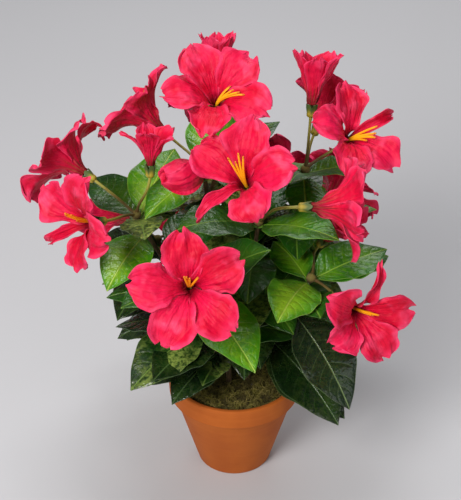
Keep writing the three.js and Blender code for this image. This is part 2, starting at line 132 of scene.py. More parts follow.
class Path:
    """A smooth line given by close points, looked up by its share of the length."""

    def __init__(self, points):
        self.points = np.asarray(points, float)
        steps = np.linalg.norm(np.diff(self.points, axis=0), axis=1)
        self.reached = np.concatenate([[0.0], np.cumsum(steps)])
        self.length = self.reached[-1]

    def at(self, share):
        wanted = np.asarray(share) * self.length
        axes = [np.interp(wanted, self.reached, self.points[:, axis]) for axis in range(3)]
        return np.stack(axes, axis=-1)

    def end_direction(self):
        return unit(self.points[-1] - self.points[-2])


arch = Path(bow([(0, 0, 0), (0, 0, 100), (100, 0, 100), (100, 0, 0)], 20))
print("length of an arch 100 mm wide:", round(arch.length), "mm")

# %% Lay the stems
STEM = {"foot": 2.9, "tip": 1.7, "socket": 24, "free": 3, "upright": 0.3, "knuckle": 4.2}
STEM_POINTS = 400
MOSS = {"wall_gap": 0.4, "edge": 86, "crown": 92}


def lay_stem(name, index):
    """The path of a stem: straight up out of the moss, then a curve to its tip."""
    (x, y), bend, tip, leaves_from, whorls = STEMS[name]
    foot = np.array([x, y, MOSS["crown"] - STEM["socket"]], float)
    mouth = np.array([x, y, MOSS["crown"] + STEM["free"]], float)
    upright = mouth + UP * STEM["upright"] * (tip[2] - mouth[2])
    path = Path(np.vstack([[foot], bow([mouth, upright, bend, tip], STEM_POINTS)]))
    return {
        "name": name, "index": index, "path": path, "tip": np.array(tip, float),
        "leaves_from": leaves_from, "whorls": whorls,
    }


stems = [lay_stem(name, index) for index, name in enumerate(STEMS)]
print("stems:", ", ".join(f"{stem['name']} {stem['path'].length:.0f} mm" for stem in stems))

# %% [markdown]
# ## Where each leaf grew
# The table gives every leaf a heading and a rise, and chance adds a little. In the crowded crown of
# the solids, a leaf that had no room swung aside or was lifted, and one that found none was left
# out. That search could be run again, but the solids already show how it ended. So each leaf is
# tried in all of its possible places, and it grew where its tip and the corners of its blade meet
# corners of its stem's solid.


# %% Directions, arcs and dice
def heading(azimuth, rise=0.0):
    """The unit vector that points at an azimuth and rises above level, in degrees."""
    around, above = math.radians(azimuth), math.radians(rise)
    flat = math.cos(above)
    return np.array([flat * math.cos(around), flat * math.sin(around), math.sin(above)])


def arc(length, start, stop, share):
    """Where an evenly turning line gets to: along its first axis, its second, and its angle."""
    first, turn = math.radians(start), np.radians(stop - start)
    angle = first + turn * share
    if abs(turn) < 1e-6:
        return length * share * np.cos(angle), length * share * np.sin(angle), angle
    radius = length / turn
    reach = radius * (np.sin(angle) - math.sin(first))
    climb = radius * (math.cos(first) - np.cos(angle))
    return reach, climb, angle


DICE = {"factor": 16807, "prime": 2147483647, "seed_step": 7919, "seed_start": 17}
SEEDS = {
    "leaf_places": 1, "blooms": 101, "leaf_tones": 301, "leaves": 302, "petals": 401,
    "threads": 501, "olive_fibres": 11, "straw_fibres": 12,
}


def dice(seed):
    """A function that gives the next number from 0 to 1 of a row that is the same on each run."""
    state = seed * DICE["seed_step"] + DICE["seed_start"]

    def roll():
        nonlocal state
        state = state * DICE["factor"] % DICE["prime"]
        return state / DICE["prime"]

    return roll


example = dice(1)
print("three numbers from seed 1:", *(round(example(), 3) for _ in range(3)))

# %% The plan of the leaves
LEAF = {
    "petiole": 0.1, "petiole_width": 2.2, "slenderness": 0.5, "bias": 0.82, "fold": 0.22,
    "droop": 34, "under_tip": 6,
}
LEAF_CHANCE = {"heading": 9, "rise": 13, "droop": 16, "length": 0.06}


def plan_leaves(stem):
    """Every leaf that the table asks for. Chance spares the first leaf of a whorl."""
    roll = dice(SEEDS["leaf_places"] + stem["index"])
    leaves = []
    for whorl, (place, count, first, step, rise, length) in enumerate(stem["whorls"]):
        at = min(place, 1 - LEAF["under_tip"] / stem["path"].length)
        for k in range(count):
            chance = [2 * roll() - 1 if k > 0 else 0.0 for _ in LEAF_CHANCE]
            leaves.append({
                "stem": stem["name"], "whorl": whorl, "turn": k, "root": stem["path"].at(at),
                "heading": first + k * step + LEAF_CHANCE["heading"] * chance[0],
                "rise": rise + LEAF_CHANCE["rise"] * chance[1],
                "droop": LEAF["droop"] + LEAF_CHANCE["droop"] * chance[2],
                "length": length * (1 + LEAF_CHANCE["length"] * chance[3]),
            })
    return leaves


def leaf_midrib(leaf, along):
    """Points on the midrib with the blade's upward normal and sideways direction there."""
    out = heading(leaf["heading"])
    side = np.array([-out[1], out[0], 0.0])
    reach, climb, angle = arc(leaf["length"], leaf["rise"], leaf["rise"] - leaf["droop"], along)
    points = leaf["root"] + reach[..., None] * out + climb[..., None] * UP
    normal = -np.sin(angle)[..., None] * out + np.cos(angle)[..., None] * UP
    return points, normal, side


print("leaves planned:", sum(len(plan_leaves(stem)) for stem in stems))

# %% Find each leaf in the frame
SWINGS = [0, 10, -10, 20, -20, 30, -30, 45, -45]
LIFTS = [0, 12, -12, 24]
LEAF_STATIONS = np.array([0.32, 0.58, 0.83])
SOLID_THICKNESS = 1.4
NEAR_ENOUGH, ENOUGH_CORNERS = 0.35, 6


def solid_corners(leaf):
    """The corners that a leaf has as a solid: its tip, its edges and its midrib."""
    points, normal, side = leaf_midrib(leaf, LEAF_STATIONS)
    share = (LEAF_STATIONS - LEAF["petiole"]) / (1 - LEAF["petiole"])
    half = leaf["length"] * LEAF["slenderness"] / 2 * np.sin(np.pi * share ** LEAF["bias"])
    half = half[:, None]
    tip, _, _ = leaf_midrib(leaf, np.array([1.0]))
    edges = [points + sign * half * side + half * LEAF["fold"] * normal for sign in (-1, 1)]
    middles = [points + sign * SOLID_THICKNESS / 2 * normal for sign in (-1, 1)]
    return np.vstack([tip, *edges, *middles])


def find_leaf(leaf, corners):
    """The leaf as it grew, or None where it was left out."""
    best, most = None, ENOUGH_CORNERS - 1
    for lift in LIFTS:
        for swing in SWINGS:
            tried = {**leaf, "heading": leaf["heading"] + swing, "rise": leaf["rise"] + lift}
            own = solid_corners(tried)
            gaps = np.linalg.norm(own[:, None, :] - corners[None, :, :], axis=2).min(axis=1)
            met = int((gaps < NEAR_ENOUGH).sum())
            if met > most:
                best, most = tried, met
    return best


def node_points(name):
    """The distinct corners of a frame node, in millimetres."""
    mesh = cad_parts[name].data
    flat = np.empty(len(mesh.vertices) * 3, np.float32)
    mesh.vertices.foreach_get("co", flat)
    return np.unique(np.round(flat.reshape(-1, 3) / MM, 3), axis=0)


leaves = []
for stem in stems:
    corners = node_points(f"leaves_{stem['name']}")
    planned = plan_leaves(stem)
    grown = [found for found in (find_leaf(leaf, corners) for leaf in planned) if found]
    leaves += grown
    print("leaves of", stem["name"], ":", len(grown), "of", len(planned))
print("leaves in all:", len(leaves))

# %% [markdown]
# ## Thin shells
# A leaf or petal of cut fabric is a curved sheet with a small thickness. A flat sheet could be
# bent and thickened with modifiers. Here each is worked out as a grid of points and thickened
# along its own normals into a closed shell, because a formula gives every leaf its own curl at no
# cost. Each point keeps where it lies on the blade, so that veins can be painted along the leaf
# however it bends.

# %% Mesh helpers
SMOOTH_UP_TO = math.radians(50)


def new_object(name, data):
    made = bpy.data.objects.new(name, data)
    bpy.context.scene.collection.objects.link(made)
    return made


def new_mesh(name, points, faces):
    """A smooth mesh in metres from points in millimetres."""
    mesh = bpy.data.meshes.new(name)
    mesh.from_pydata((points * MM).tolist(), [], faces)
    mesh.update()
    mesh.shade_smooth()
    mesh.set_sharp_from_angle(angle=SMOOTH_UP_TO)
    return mesh


def add_attribute(mesh, name, values):
    attribute = mesh.attributes.new(name, "FLOAT_VECTOR", "POINT")
    attribute.data.foreach_set("vector", values.astype(np.float32).ravel())


def side_by_side(*grids):
    """A row of numbers for each point, one from each grid."""
    return np.stack(np.broadcast_arrays(*grids), axis=-1).reshape(-1, len(grids))


def triangles(piece):
    return sum(len(polygon.vertices) - 2 for polygon in piece.data.polygons)


print("one millimetre in the scene:", MM, "m")


# %% Normals and faces of a shell
def grid_normals(points):
    """Unit normals of a grid of points, rows across and columns along."""
    across = np.gradient(points, axis=0)
    along = np.gradient(points, axis=1)
    normal = np.cross(along, across)
    return normal / np.maximum(np.linalg.norm(normal, axis=2, keepdims=True), 1e-9)


def shell_faces(rows, columns):
    """The quads of a closed shell: the upper grid, the lower grid, and the rim between them."""
    index = np.arange(rows * columns).reshape(rows, columns)
    a, b, c, d = index[:-1, :-1], index[:-1, 1:], index[1:, 1:], index[1:, :-1]
    top = np.stack([a, b, c, d], axis=-1).reshape(-1, 4)
    bottom = (top + rows * columns)[:, ::-1]
    loop = np.concatenate([index[:, 0], index[-1, 1:], index[-2::-1, -1], index[0, -2:0:-1]])
    following = np.roll(loop, -1)
    rim = np.stack([loop, following, following + rows * columns, loop + rows * columns], axis=-1)
    return np.vstack([top, bottom, rim])


print("faces of a shell of 3 by 3 points:", len(shell_faces(3, 3)))


# %% Shell builder
class Sheets:
    """Collects many shells and makes one mesh of them."""

    def __init__(self):
        self.points, self.faces, self.place, self.measure, self.count = [], [], [], [], 0

    def add(self, middle, half_thickness, across, along, half_width, tone):
        """A shell round a grid of middle points. half_thickness is (above, below)."""
        normal = grid_normals(middle)
        above, below = half_thickness
        both = np.stack([middle + normal * above, middle - normal * below])
        rows, columns = middle.shape[:2]
        self.faces.append(shell_faces(rows, columns) + self.count)
        self.points.append(both.reshape(-1, 3))
        self.count += 2 * rows * columns
        for back in (0.0, 1.0):
            self.place.append(side_by_side(across, along, back))
            self.measure.append(side_by_side(across * half_width, tone, 0.0))

    def make(self, name):
        """The mesh. Its points know their place (how far across, how far along, whether it is
        the back) and their measure (millimetres from the midline, and the tone of the sheet)."""
        mesh = new_mesh(name, np.vstack(self.points), np.vstack(self.faces).tolist())
        add_attribute(mesh, "place", np.vstack(self.place))
        add_attribute(mesh, "measure", np.vstack(self.measure))
        return new_object(name, mesh)


# %% [markdown]
# ## Nodes from a script
# Finishes and repeated shapes are trees of nodes. They could be wired by hand in the editor. From
# a script they can be read and repeated: a small class wraps the output of a node, so that maths
# on it reads like ordinary maths and `1 - mask` adds the node that subtracts. Every other node
# comes from one method that takes its type, its settings and the values of its sockets.


# %% Values that can be used in maths
def plug(socket, value):
    """Set a socket to a value, or link it to the output of another node."""
    if isinstance(value, Value):
        socket.id_data.links.new(value.socket, socket)
    else:
        socket.default_value = value


def operator(operation, reflected=False):
    """A method that adds a Math node. The reflected one is for a number on the left."""

    def forward(self, other):
        return self.maths(operation, self, other)

    def backward(self, other):
        return self.maths(operation, other, self)

    return backward if reflected else forward


class Value:
    """The output of a node."""

    def __init__(self, socket):
        self.socket = socket

    def maths(self, operation, *numbers):
        node = self.socket.id_data.nodes.new("ShaderNodeMath")
        node.operation = operation
        for socket, number in zip(node.inputs, numbers):
            plug(socket, number)
        return Value(node.outputs[0])

    __add__, __radd__ = operator("ADD"), operator("ADD", reflected=True)
    __sub__, __rsub__ = operator("SUBTRACT"), operator("SUBTRACT", reflected=True)
    __mul__, __rmul__ = operator("MULTIPLY"), operator("MULTIPLY", reflected=True)
    __pow__, __rpow__ = operator("POWER"), operator("POWER", reflected=True)

    def size(self):
        return self.maths("ABSOLUTE", self)

    def wave(self):
        return self.maths("SINE", self)

    def fraction(self):
        return self.maths("FRACT", self)

    def above(self, number):
        return self.maths("GREATER_THAN", self, number)

    def ramp(self, start, stop):
        """0 up to start and 1 from stop on, smooth between them."""
        node = self.socket.id_data.nodes.new("ShaderNodeMapRange")
        node.interpolation_type = "SMOOTHSTEP"
        for name, number in (("Value", self), ("From Min", start), ("From Max", stop)):
            plug(node.inputs[name], number)
        return Value(node.outputs[0])


# %% Any other node
class Nodes:
    """A tree that is built node by node."""

    def __init__(self, tree):
        self.tree = tree

    def node(self, kind, settings=None, sockets=None, output=0):
        """A node of a type with its settings and sockets, as the value of one of its outputs."""
        made = self.tree.nodes.new(kind)
        for name, setting in (settings or {}).items():
            setattr(made, name, setting)
        for name, value in (sockets or {}).items():
            plug(made.inputs[name], value)
        return Value(made.outputs[output]) if made.outputs else None


# %% A material made of nodes
class Finish(Nodes):
    """A material."""

    def __init__(self, name):
        self.material = bpy.data.materials.new(name)
        self.material.use_nodes = True
        super().__init__(self.material.node_tree)
        self.tree.nodes.clear()

    def own_space(self, scale=None):
        """Where a point lies in the object's own space, which may be scaled along each axis."""
        here = self.node("ShaderNodeTexCoord", output=3)
        if not scale:
            return here
        return self.node("ShaderNodeMapping", None, {"Vector": here, "Scale": scale})

    def noise(self, scale, detail, roughness, space=None):
        return self.node("ShaderNodeTexNoise", None, {
            "Vector": space or self.own_space(), "Scale": scale, "Detail": detail,
            "Roughness": roughness,
        })

    def number(self, attribute):
        """An attribute that holds one number."""
        return self.node("ShaderNodeAttribute", {"attribute_name": attribute}, output=2)

    def parts(self, attribute):
        """The three numbers of an attribute that is a vector."""
        vector = self.node("ShaderNodeAttribute", {"attribute_name": attribute}, output=1)
        split = self.node("ShaderNodeSeparateXYZ", None, {0: vector})
        return [Value(socket) for socket in split.socket.node.outputs]

    def mix(self, factor, a, b):
        """One colour over another by a factor."""
        settings = {"data_type": "RGBA", "clamp_factor": True}
        return self.node("ShaderNodeMix", settings, {0: factor, 6: a, 7: b}, 2)

    def bump(self, height, distance, strength):
        sockets = {"Height": height, "Distance": distance, "Strength": strength}
        return self.node("ShaderNodeBump", None, sockets)

    def surface(self, **sockets):
        """The shader itself. Underscores in the names of sockets stand for spaces."""
        named = {name.replace("_", " "): value for name, value in sockets.items()}
        shader = self.node("ShaderNodeBsdfPrincipled", None, named)
        self.node("ShaderNodeOutputMaterial", None, {"Surface": shader})
        return self.material


def rgb(red, green, blue):
    """A colour from 0 to 255, as a screen shows it, in the values that light uses."""
    shares = [channel / 255 for channel in (red, green, blue)]
    return (*[s / 12.92 if s <= 0.04045 else ((s + 0.055) / 1.055) ** 2.4 for s in shares], 1.0)


# %% [markdown]
# ## Leaves
# The real leaves are cut from coated fabric, pressed so that the veins sink in, and wired along
# the midrib, which stands out underneath. One leaf could be modelled and copied, but copies show
# at once in a bush. So each leaf follows the plan's own arc and width, and gets what its solid
# leaves out: a soft fold instead of a sharp one, a wavy margin, a slight twist, blisters between
# the side veins and a drawn-out tip.

# %% Outline of a leaf
OUTLINE = {"fuller": 1.1, "point": 0.86, "drawn_out": 0.12, "thinnest": 0.12}


def leaf_outline(leaf, share):
    """Half the width of a leaf at each share of its blade, and how full the blade is there."""
    full = leaf["length"] * LEAF["slenderness"] / 2
    power = OUTLINE["point"] + OUTLINE["drawn_out"] * share**4
    pointed = np.sin(np.pi * share ** LEAF["bias"]) ** power
    petiole = LEAF["petiole_width"] / 2 * (1 - 0.9 * share)
    half = np.maximum(full * OUTLINE["fuller"] * pointed, np.maximum(petiole, OUTLINE["thinnest"]))
    return half, np.clip(half / full, 0, 1)


half_widths, _ = leaf_outline({"length": 100}, np.linspace(0, 1, 6))
print("half widths of a leaf of 100 mm:", *np.round(half_widths, 1))

# %% Leaf shape
LEAF_ROWS, LEAF_COLUMNS = 15, 35
LEAF_SHEET, PETIOLE_SHEET = 0.25, 0.5
RIB = {"height": 0.55, "width": 1.2, "fade": 1.15}
SIDE_VEINS, VEIN_SWEEP = 9, 2.2
BLADE = {
    "twist": 16, "tilt": 7, "outward": 11, "margin": 0.06, "waves": 2.4, "more_waves": 1.6,
    "sides_apart": 1.3, "softness": 0.03, "fold_drop": 0.17, "blister": 0.45, "hook": 0.1,
}
FRONT_UP_TO = 30


def leaf_sheet(leaf, roll):
    """A leaf's middle surface, its half thicknesses, and where each point lies on the blade."""
    across = np.sin(np.linspace(-1, 1, LEAF_ROWS) * np.pi / 2)[:, None]
    along = np.linspace(0, 1, LEAF_COLUMNS)[None, :]
    share = np.clip((along - LEAF["petiole"]) / (1 - LEAF["petiole"]), 0, 1)
    half, blade = leaf_outline(leaf, share)
    points, normal, side = leaf_midrib(leaf, along + 0 * across)

    twist = math.radians(BLADE["twist"]) * (2 * roll() - 1) * along
    waves, phase = BLADE["waves"] + BLADE["more_waves"] * roll(), 2 * math.pi * roll()
    in_front = points[LEAF_ROWS // 2, LEAF_COLUMNS // 2, 1] < FRONT_UP_TO
    tilt = math.radians(BLADE["tilt"]) * (2 * roll() - 1)
    tilt = tilt + math.radians(BLADE["outward"]) * side[1] * (1 if in_front else -1)
    turned = twist + tilt
    turned_side = np.cos(turned)[..., None] * side + np.sin(turned)[..., None] * normal

    ripple = np.sin(2 * math.pi * waves * along + phase + np.sign(across) * BLADE["sides_apart"])
    margin = BLADE["margin"] * half * across**2 * ripple
    soft_fold = np.sqrt(across**2 + BLADE["softness"]) - BLADE["fold_drop"]
    fold = half * LEAF["fold"] * soft_fold * (0.5 + 0.5 * roll())
    between_veins = np.abs(np.sin(np.pi * (along * SIDE_VEINS - np.abs(across) * VEIN_SWEEP * 0.5)))
    blister = BLADE["blister"] * blade * between_veins * np.sin(np.pi * np.abs(across))
    hook = -BLADE["hook"] * half * along**2 * across**2
    middle = points + (across * half)[..., None] * turned_side
    middle = middle + (margin + fold + blister + hook)[..., None] * normal

    petiole = PETIOLE_SHEET * np.clip(1 - share * 9, 0, 1)
    rib = RIB["height"] * np.exp(-((across * half / RIB["width"]) ** 2)) * (RIB["fade"] - along)
    above = LEAF_SHEET + petiole + 0 * across
    below = LEAF_SHEET + petiole + rib
    return middle, (above[..., None], below[..., None]), across, along, half


print("points of a leaf:", 2 * LEAF_ROWS * LEAF_COLUMNS)

# %% Deal the leaves out to tones
# A word for each whorl of a stem, with a letter for each of its leaves. The last letter holds for
# the rest of the whorl, but a leaf past the end of its word may stray to another tone.
TONES = {"l": "lime", "b": "bright", "g": "green", "d": "dark", "s": "speckled", "v": "veined"}
# The tones are partly the leaves' own colours and partly painted light and shade: the lighter tones
# go to leaves that catch the light and the dark ones to leaves deep in the crown, where shade
# falls.
WHORL_TONES = {
    "left": "sl g s ls d g d d", "centre": "g b g g g d d", "top": "lg bg g g d d",
    "right": "g b g g d", "low_right": "b l bb g v d d d g d", "front_left": "l g g g s d d d d s",
    "back": "b g g d d", "back_left": "b g d s", "back_right": "b g s d",
}
STRAY = 0.25
STRAY_TO = {"l": "g", "b": "g", "g": "s", "s": "d", "d": "g", "v": "d"}


def tone_of(leaf, roll):
    word = WHORL_TONES[leaf["stem"]].split()[leaf["whorl"]]
    letter = word[min(leaf["turn"], len(word) - 1)]
    if leaf["turn"] >= len(word) and roll() < STRAY:
        letter = STRAY_TO[letter]
    return TONES[letter]


deal, curl = dice(SEEDS["leaf_tones"]), dice(SEEDS["leaves"])
leaf_sheets = {tone: Sheets() for tone in TONES.values()}
leaf_stems = {tone: set() for tone in TONES.values()}
for leaf in leaves:
    tone = tone_of(leaf, deal)
    sheet = leaf_sheet(leaf, curl)
    leaf_sheets[tone].add(*sheet, curl())
    leaf_stems[tone].add(leaf["stem"])
leaf_pieces = {tone: sheets.make(f"leaves_{tone}_cloth") for tone, sheets in leaf_sheets.items()}
for tone, piece in leaf_pieces.items():
    print("leaves,", tone, ":", triangles(piece), "triangles")

# %% [markdown]
# ## The finish of the leaves
# The upper side of a real leaf is coated and shines, with pale printed veins that run out from the
# midrib in gentle bows. The underside is matt and paler. The print could be an image, but an image
# has to be fitted to every blade. Lines worked out from each point's own place on its leaf bend
# with the blade by themselves.


# %% Leaf finish
def leaf_finish(name, body, glow, vein, under, veining, speckle, gloss):
    body, glow, vein, under = (rgb(*colour) for colour in (body, glow, vein, under))
    finish = Finish(name)
    across, along, back = finish.parts("place")
    across_mm, tone, _ = finish.parts("measure")
    edge = across.size()
    midrib = 1 - across_mm.size().ramp(0.3, 0.95)
    bowed = along * SIDE_VEINS - edge * (VEIN_SWEEP * 0.5) - edge * edge * 0.5
    nearness = (bowed.fraction() - 0.5).size() * 2
    side_vein = nearness.ramp(0.86, 1.0) * (1 - edge.ramp(0.6, 0.95)) * along.ramp(0.06, 0.2)
    veins = midrib * 0.7 + side_vein * veining

    cloudy = finish.noise(75, 3, 0.6)
    patches = finish.noise(26, 2, 0.5)
    mottle = finish.noise(330, 4, 0.7)
    deep = [channel * 0.5 for channel in body[:3]] + [1.0]
    glowing = (1 - edge.ramp(0.1, 0.9)) * patches.ramp(0.35, 0.65) * (0.35 + tone * 0.6)
    colour = finish.mix(cloudy.ramp(0.4, 0.75) * 0.6, body, deep)
    colour = finish.mix(glowing, colour, glow)
    colour = finish.mix(mottle.ramp(0.46, 0.66) * 0.4 * (1 - edge.ramp(0.6, 1.0)), colour, glow)
    if speckle:
        flecks = finish.noise(260, 4, 0.7).ramp(0.38, 0.62)
        worn = flecks * patches.ramp(0.32, 0.54) * speckle
        colour = finish.mix(worn, colour, rgb(156, 176, 84))
    colour = finish.mix(veins, colour, vein)
    colour = finish.mix(edge.ramp(0.95, 1.0) * 0.3, colour, vein)
    colour = finish.mix(back, colour, finish.mix(veins, under, vein))

    quilted = (1 - nearness ** 3) * (1 - edge.ramp(0.75, 1.0)) * edge.ramp(0.05, 0.25)
    netting = finish.node("ShaderNodeTexVoronoi", {"feature": "DISTANCE_TO_EDGE"}, {
        "Vector": finish.own_space(), "Scale": 210.0,
    })
    crinkle = finish.noise(190, 2, 0.55)
    relief = netting.ramp(0.0, 0.3) * 0.14 - midrib * 0.5 + quilted * 0.35
    normal = finish.bump(relief + cloudy * 0.9 + crinkle * 0.8, 0.001, 0.9)
    roughness = gloss + cloudy * 0.14 + back * 0.25
    return finish.surface(Base_Color=colour, Roughness=roughness, Normal=normal)


# %% The six tones of the leaves
# Colours of the body, of its lighter middle, of the veins and of the underside, then how strong
# the side veins and the flecks are, and the roughness of the coating.
# Lime, bright, green and dark are partly the leaves' own colours and partly lit and shaded copies
# of one green, that is painted light and shade.
LEAF_TONES = {
    "lime": ((68, 136, 12), (142, 186, 34), (172, 202, 80), (116, 156, 58), 0.2, 0, 0.24),
    "bright": ((42, 106, 10), (108, 158, 24), (146, 186, 60), (100, 142, 50), 0.2, 0, 0.24),
    "green": ((26, 78, 12), (64, 116, 20), (112, 154, 50), (82, 122, 44), 0.2, 0, 0.24),
    "dark": ((12, 34, 10), (24, 58, 16), (80, 108, 56), (52, 80, 38), 0.12, 0.06, 0.2),
    "speckled": ((16, 46, 12), (56, 94, 20), (112, 142, 60), (72, 104, 46), 0.15, 0.7, 0.24),
    "veined": ((12, 34, 14), (22, 54, 22), (120, 142, 88), (60, 88, 48), 0.17, 0.05, 0.2),
}
for tone, values in LEAF_TONES.items():
    leaf_pieces[tone].data.materials.append(leaf_finish(f"leaf_{tone}", *values))
print("leaf finishes:", ", ".join(LEAF_TONES))

# %% [markdown]
# ## Lay the blooms
# A bloom faces along one direction. Its five petals leave the collar close to that axis and turn
# outward, each with one edge over its neighbour's. A whole bloom could be modelled and turned into
# place, but no two in the bush open alike. So a table says how each is set, and chance gives every
# petal a little of its own.

# %% Table of the blooms
# A bloom has its stem, the foot of its collar, its heading, rise and turn, the length of its
# petals, how far they open, and which of them are rolled.
BLOOMS = {
    "far_left": ("left", [-117, 8, 291], 152, 27, 90, 57, 106, []),
    "left": ("left", [-106, -30, 275], -137, 18, 80, 55, 98, [2]),
    "left_upright": ("left", [-70, -2, 300], 80, 74, 10, 36, 38, [0, 2]),
    "top_left": ("top", [-54, 45, 311], 160, 37, 60, 58, 82, []),
    "top": ("top", [-16, 5, 356], -86, 58, 115, 55, 100, []),
    "top_bud": ("top", [-13, 56, 350], 92, 74, 60, 40, 20, []),
    "bud": ("centre", [-18, -20, 312], -153, 15, 0, 38, 0, []),
    "centre": ("centre", [12, -52, 316], -113, 49, 90, 59, 100, [2]),
    "right_side": ("centre", [50, -62, 308], 2, -1, 32, 56, 80, []),
    "right_upright": ("right", [63, 28, 340], 75, 70, 100, 46, 30, []),
    "right_back": ("right", [68, 56, 308], 60, 36, 90, 48, 66, []),
    "right": ("right", [90, 38, 308], -58, 46, 80, 53, 98, [4]),
    "right_hidden": ("low_right", [72, -4, 234], -30, 55, 60, 42, 44, []),
    "low_right": ("low_right", [91, -58, 212], -63, 12, 70, 55, 98, [0]),
    "front": ("front_left", [-35, -110, 266], -90, 29, 100, 57, 108, []),
    "back_high": ("back", [-14, 92, 276], 90, 40, 90, 56, 94, []),
    "back": ("back", [30, 108, 214], 78, 16, 90, 54, 94, [2]),
    "back_left": ("back_left", [-90, 92, 192], 140, 8, 80, 50, 94, [3]),
    "back_low": ("back_left", [-46, 106, 178], 108, 14, 60, 52, 94, []),
    "back_right": ("back_right", [80, 92, 214], 48, 14, 90, 54, 96, [1]),
}
print("blooms in the table:", len(BLOOMS))

# %% Lay the blooms
PETALS = 5
PETAL_CHANCE = {"turn": 5, "open": 6, "length": 0.05}
ROLLED_TURN = 22
CURLED = {"centre": {3: 0.2}, "low_right": {2: 0.16}, "left": {3: 0.12}, "top": {4: 0.08}}
CALYX = {"length": 13, "mouth": 10.5, "rim": 6, "foot": 2.4}


def lay_bloom(name, index):
    """A bloom with its axes and its petals. A curled petal's tip turns under by a share of it."""
    stem_name, foot, azimuth, rise, turn, length, opened, rolled = BLOOMS[name]
    roll = dice(SEEDS["blooms"] + index)
    stem = next(one for one in stems if one["name"] == stem_name)
    foot = np.array(foot, float)
    facing = heading(azimuth, rise)
    up = unit(UP - facing * facing[2])
    petals = []
    for k in range(PETALS if opened else 0):
        turned = turn + k * 360 / PETALS + PETAL_CHANCE["turn"] * (2 * roll() - 1)
        wider = PETAL_CHANCE["open"] * (2 * roll() - 1) + (ROLLED_TURN if k in rolled else 0)
        petals.append({
            "angle": math.radians(turned), "open": opened + wider,
            "length": length * (1 + PETAL_CHANCE["length"] * (2 * roll() - 1)),
            "rolled": k in rolled, "curled": CURLED.get(name, {}).get(k, 0.0),
        })
    return {
        "name": name, "stem": stem, "foot": foot, "mouth": foot + facing * CALYX["mouth"],
        "facing": facing, "up": up, "right": np.cross(up, facing),
        "length": length, "open": opened, "petals": petals,
    }


blooms = [lay_bloom(name, index) for index, name in enumerate(BLOOMS)]
print("petals:", sum(len(bloom["petals"]) for bloom in blooms))

# %% [markdown]
# ## Petals
# The petals are thin pressed fabric: broad, creased by fine pleats that fan out from the throat,
# and ruffled where the cut edge was stretched. A cloth simulation could drape such a sheet, but it
# is slow and hard to repeat. Here waves of several lengths are added up. The ruffles grow towards
# the outer edge, and the creases fade in the throat, where the petals are stiffened.

# %% Outline of a petal
PETAL = {"slenderness": 0.76, "fuller": 0.87, "rolled_share": 0.3, "widest": 0.58}
PETAL_SPREAD, PETAL_LAP = 0.71, 0.45
TIP_WAVES = ((0.026, 5.5), (0.013, 10), (0.009, 16))
TIP_NOTCH, TIP_ROUNDING = 0.03, 0.05


def petal_reach(petal, across, along, phases):
    """The share of the petal's arc that each point lies at. The tip is wavy and notched."""
    waves = sum(
        depth * np.sin(rate * across + phase) for (depth, rate), phase in zip(TIP_WAVES, phases)
    )
    notch = TIP_NOTCH * np.exp(-(((across - 0.3 * math.sin(phases[2])) / 0.2) ** 2))
    shorter = (notch + waves + petal["curled"]) * along**3
    return along * (1 - TIP_ROUNDING * np.abs(across) ** 2.2 - shorter)


def petal_width(bloom, petal, across, along, radius, phases, roll):
    """Half the width at each point. Close to the throat it stays within the petal's own share
    of the circle and a lap, and the cut edge is a little ragged."""
    share = PETAL["rolled_share"] if petal["rolled"] else 1.0
    share = share * min(1.0, 0.55 + bloom["open"] / 90)
    wide = PETAL["fuller"] * petal["length"] * PETAL["slenderness"] * share / 2
    beyond = np.maximum(along - PETAL["widest"], 0) / (1.02 - PETAL["widest"])
    within = 0.3 + 0.7 * np.sin(np.pi / 2 * np.minimum(along / PETAL["widest"], 1))
    rounded = np.sqrt(1 - beyond ** (2.2 + 0.8 * roll())) * within
    half = np.minimum(wide * rounded, PETAL_SPREAD * radius + PETAL_LAP)
    ragged = 0.05 * np.sin(19 * along + phases[0]) + 0.035 * np.sin(34 * along + phases[2])
    ragged = ragged * across**2 * np.where(across < 0, 1, -1)
    return half * (1 + ragged * along * (1 - along**8))


print("a petal is widest at", PETAL["widest"], "of its length")

# %% Relief of a petal
# Heights in millimetres. Those of the folds, ruffles, flutter and turned-back tip are for a petal
# of the usual length in a wide open bloom.
RELIEF = {
    "cup": 0.24, "rolled_cup": 2.6, "lean": 0.12, "pleats": 1.1, "crease": 1.4, "folds": 1.5,
    "side_ruffle": 2.9, "tip_ruffle": 2.0, "flutter": 1.4, "turned_back": 4.0,
}
USUAL_LENGTH = 57
PETAL_FOLDS = 4


def petal_relief(bloom, petal, across, along, half, phases, roll):
    """How far each point stands inward of the petal's arc."""
    first, second, third, fourth = phases
    outer = along**2.2
    cup = RELIEF["cup"] * (RELIEF["rolled_cup"] if petal["rolled"] else 1.0)
    dish = half * (cup * across**2 + RELIEF["lean"] * across)
    fan = np.abs(np.sin(across * 5.5 + 0.6 * np.sin(first) + along)) ** 0.7 - 0.6
    pleats = RELIEF["pleats"] * along * (1 - 0.5 * outer) * fan
    crease = -RELIEF["crease"] * along * (1 - 0.5 * along) * np.exp(-((across / 0.08) ** 2))

    folds = sum(
        RELIEF["folds"] / (1 + 0.6 * k) * outer
        * np.sin((2.5 + 2 * k) * across + (5 + 3 * k) * along + (k + 1) * fourth)
        for k in range(PETAL_FOLDS)
    )
    side_waves = np.sin(4.6 * np.pi * along + np.where(across < 0, second, third))
    ruffle = RELIEF["side_ruffle"] * np.abs(across) ** 3.5 * (1 - along**6) * side_waves
    ruffle = ruffle + RELIEF["tip_ruffle"] * along**6 * np.sin(5.5 * across + fourth)
    flutter = RELIEF["flutter"] * outer * np.sin(across * 6.5 + third) * (0.3 + 0.7 * along)
    turned_back = -RELIEF["turned_back"] * along**5 * (0.2 + roll() + 8 * petal["curled"])
    size = petal["length"] / USUAL_LENGTH * min(1.0, 0.25 + bloom["open"] / 110)
    return dish + pleats + crease + size * (folds + ruffle + flutter + turned_back)


print("forms of a petal's relief:", ", ".join(RELIEF))

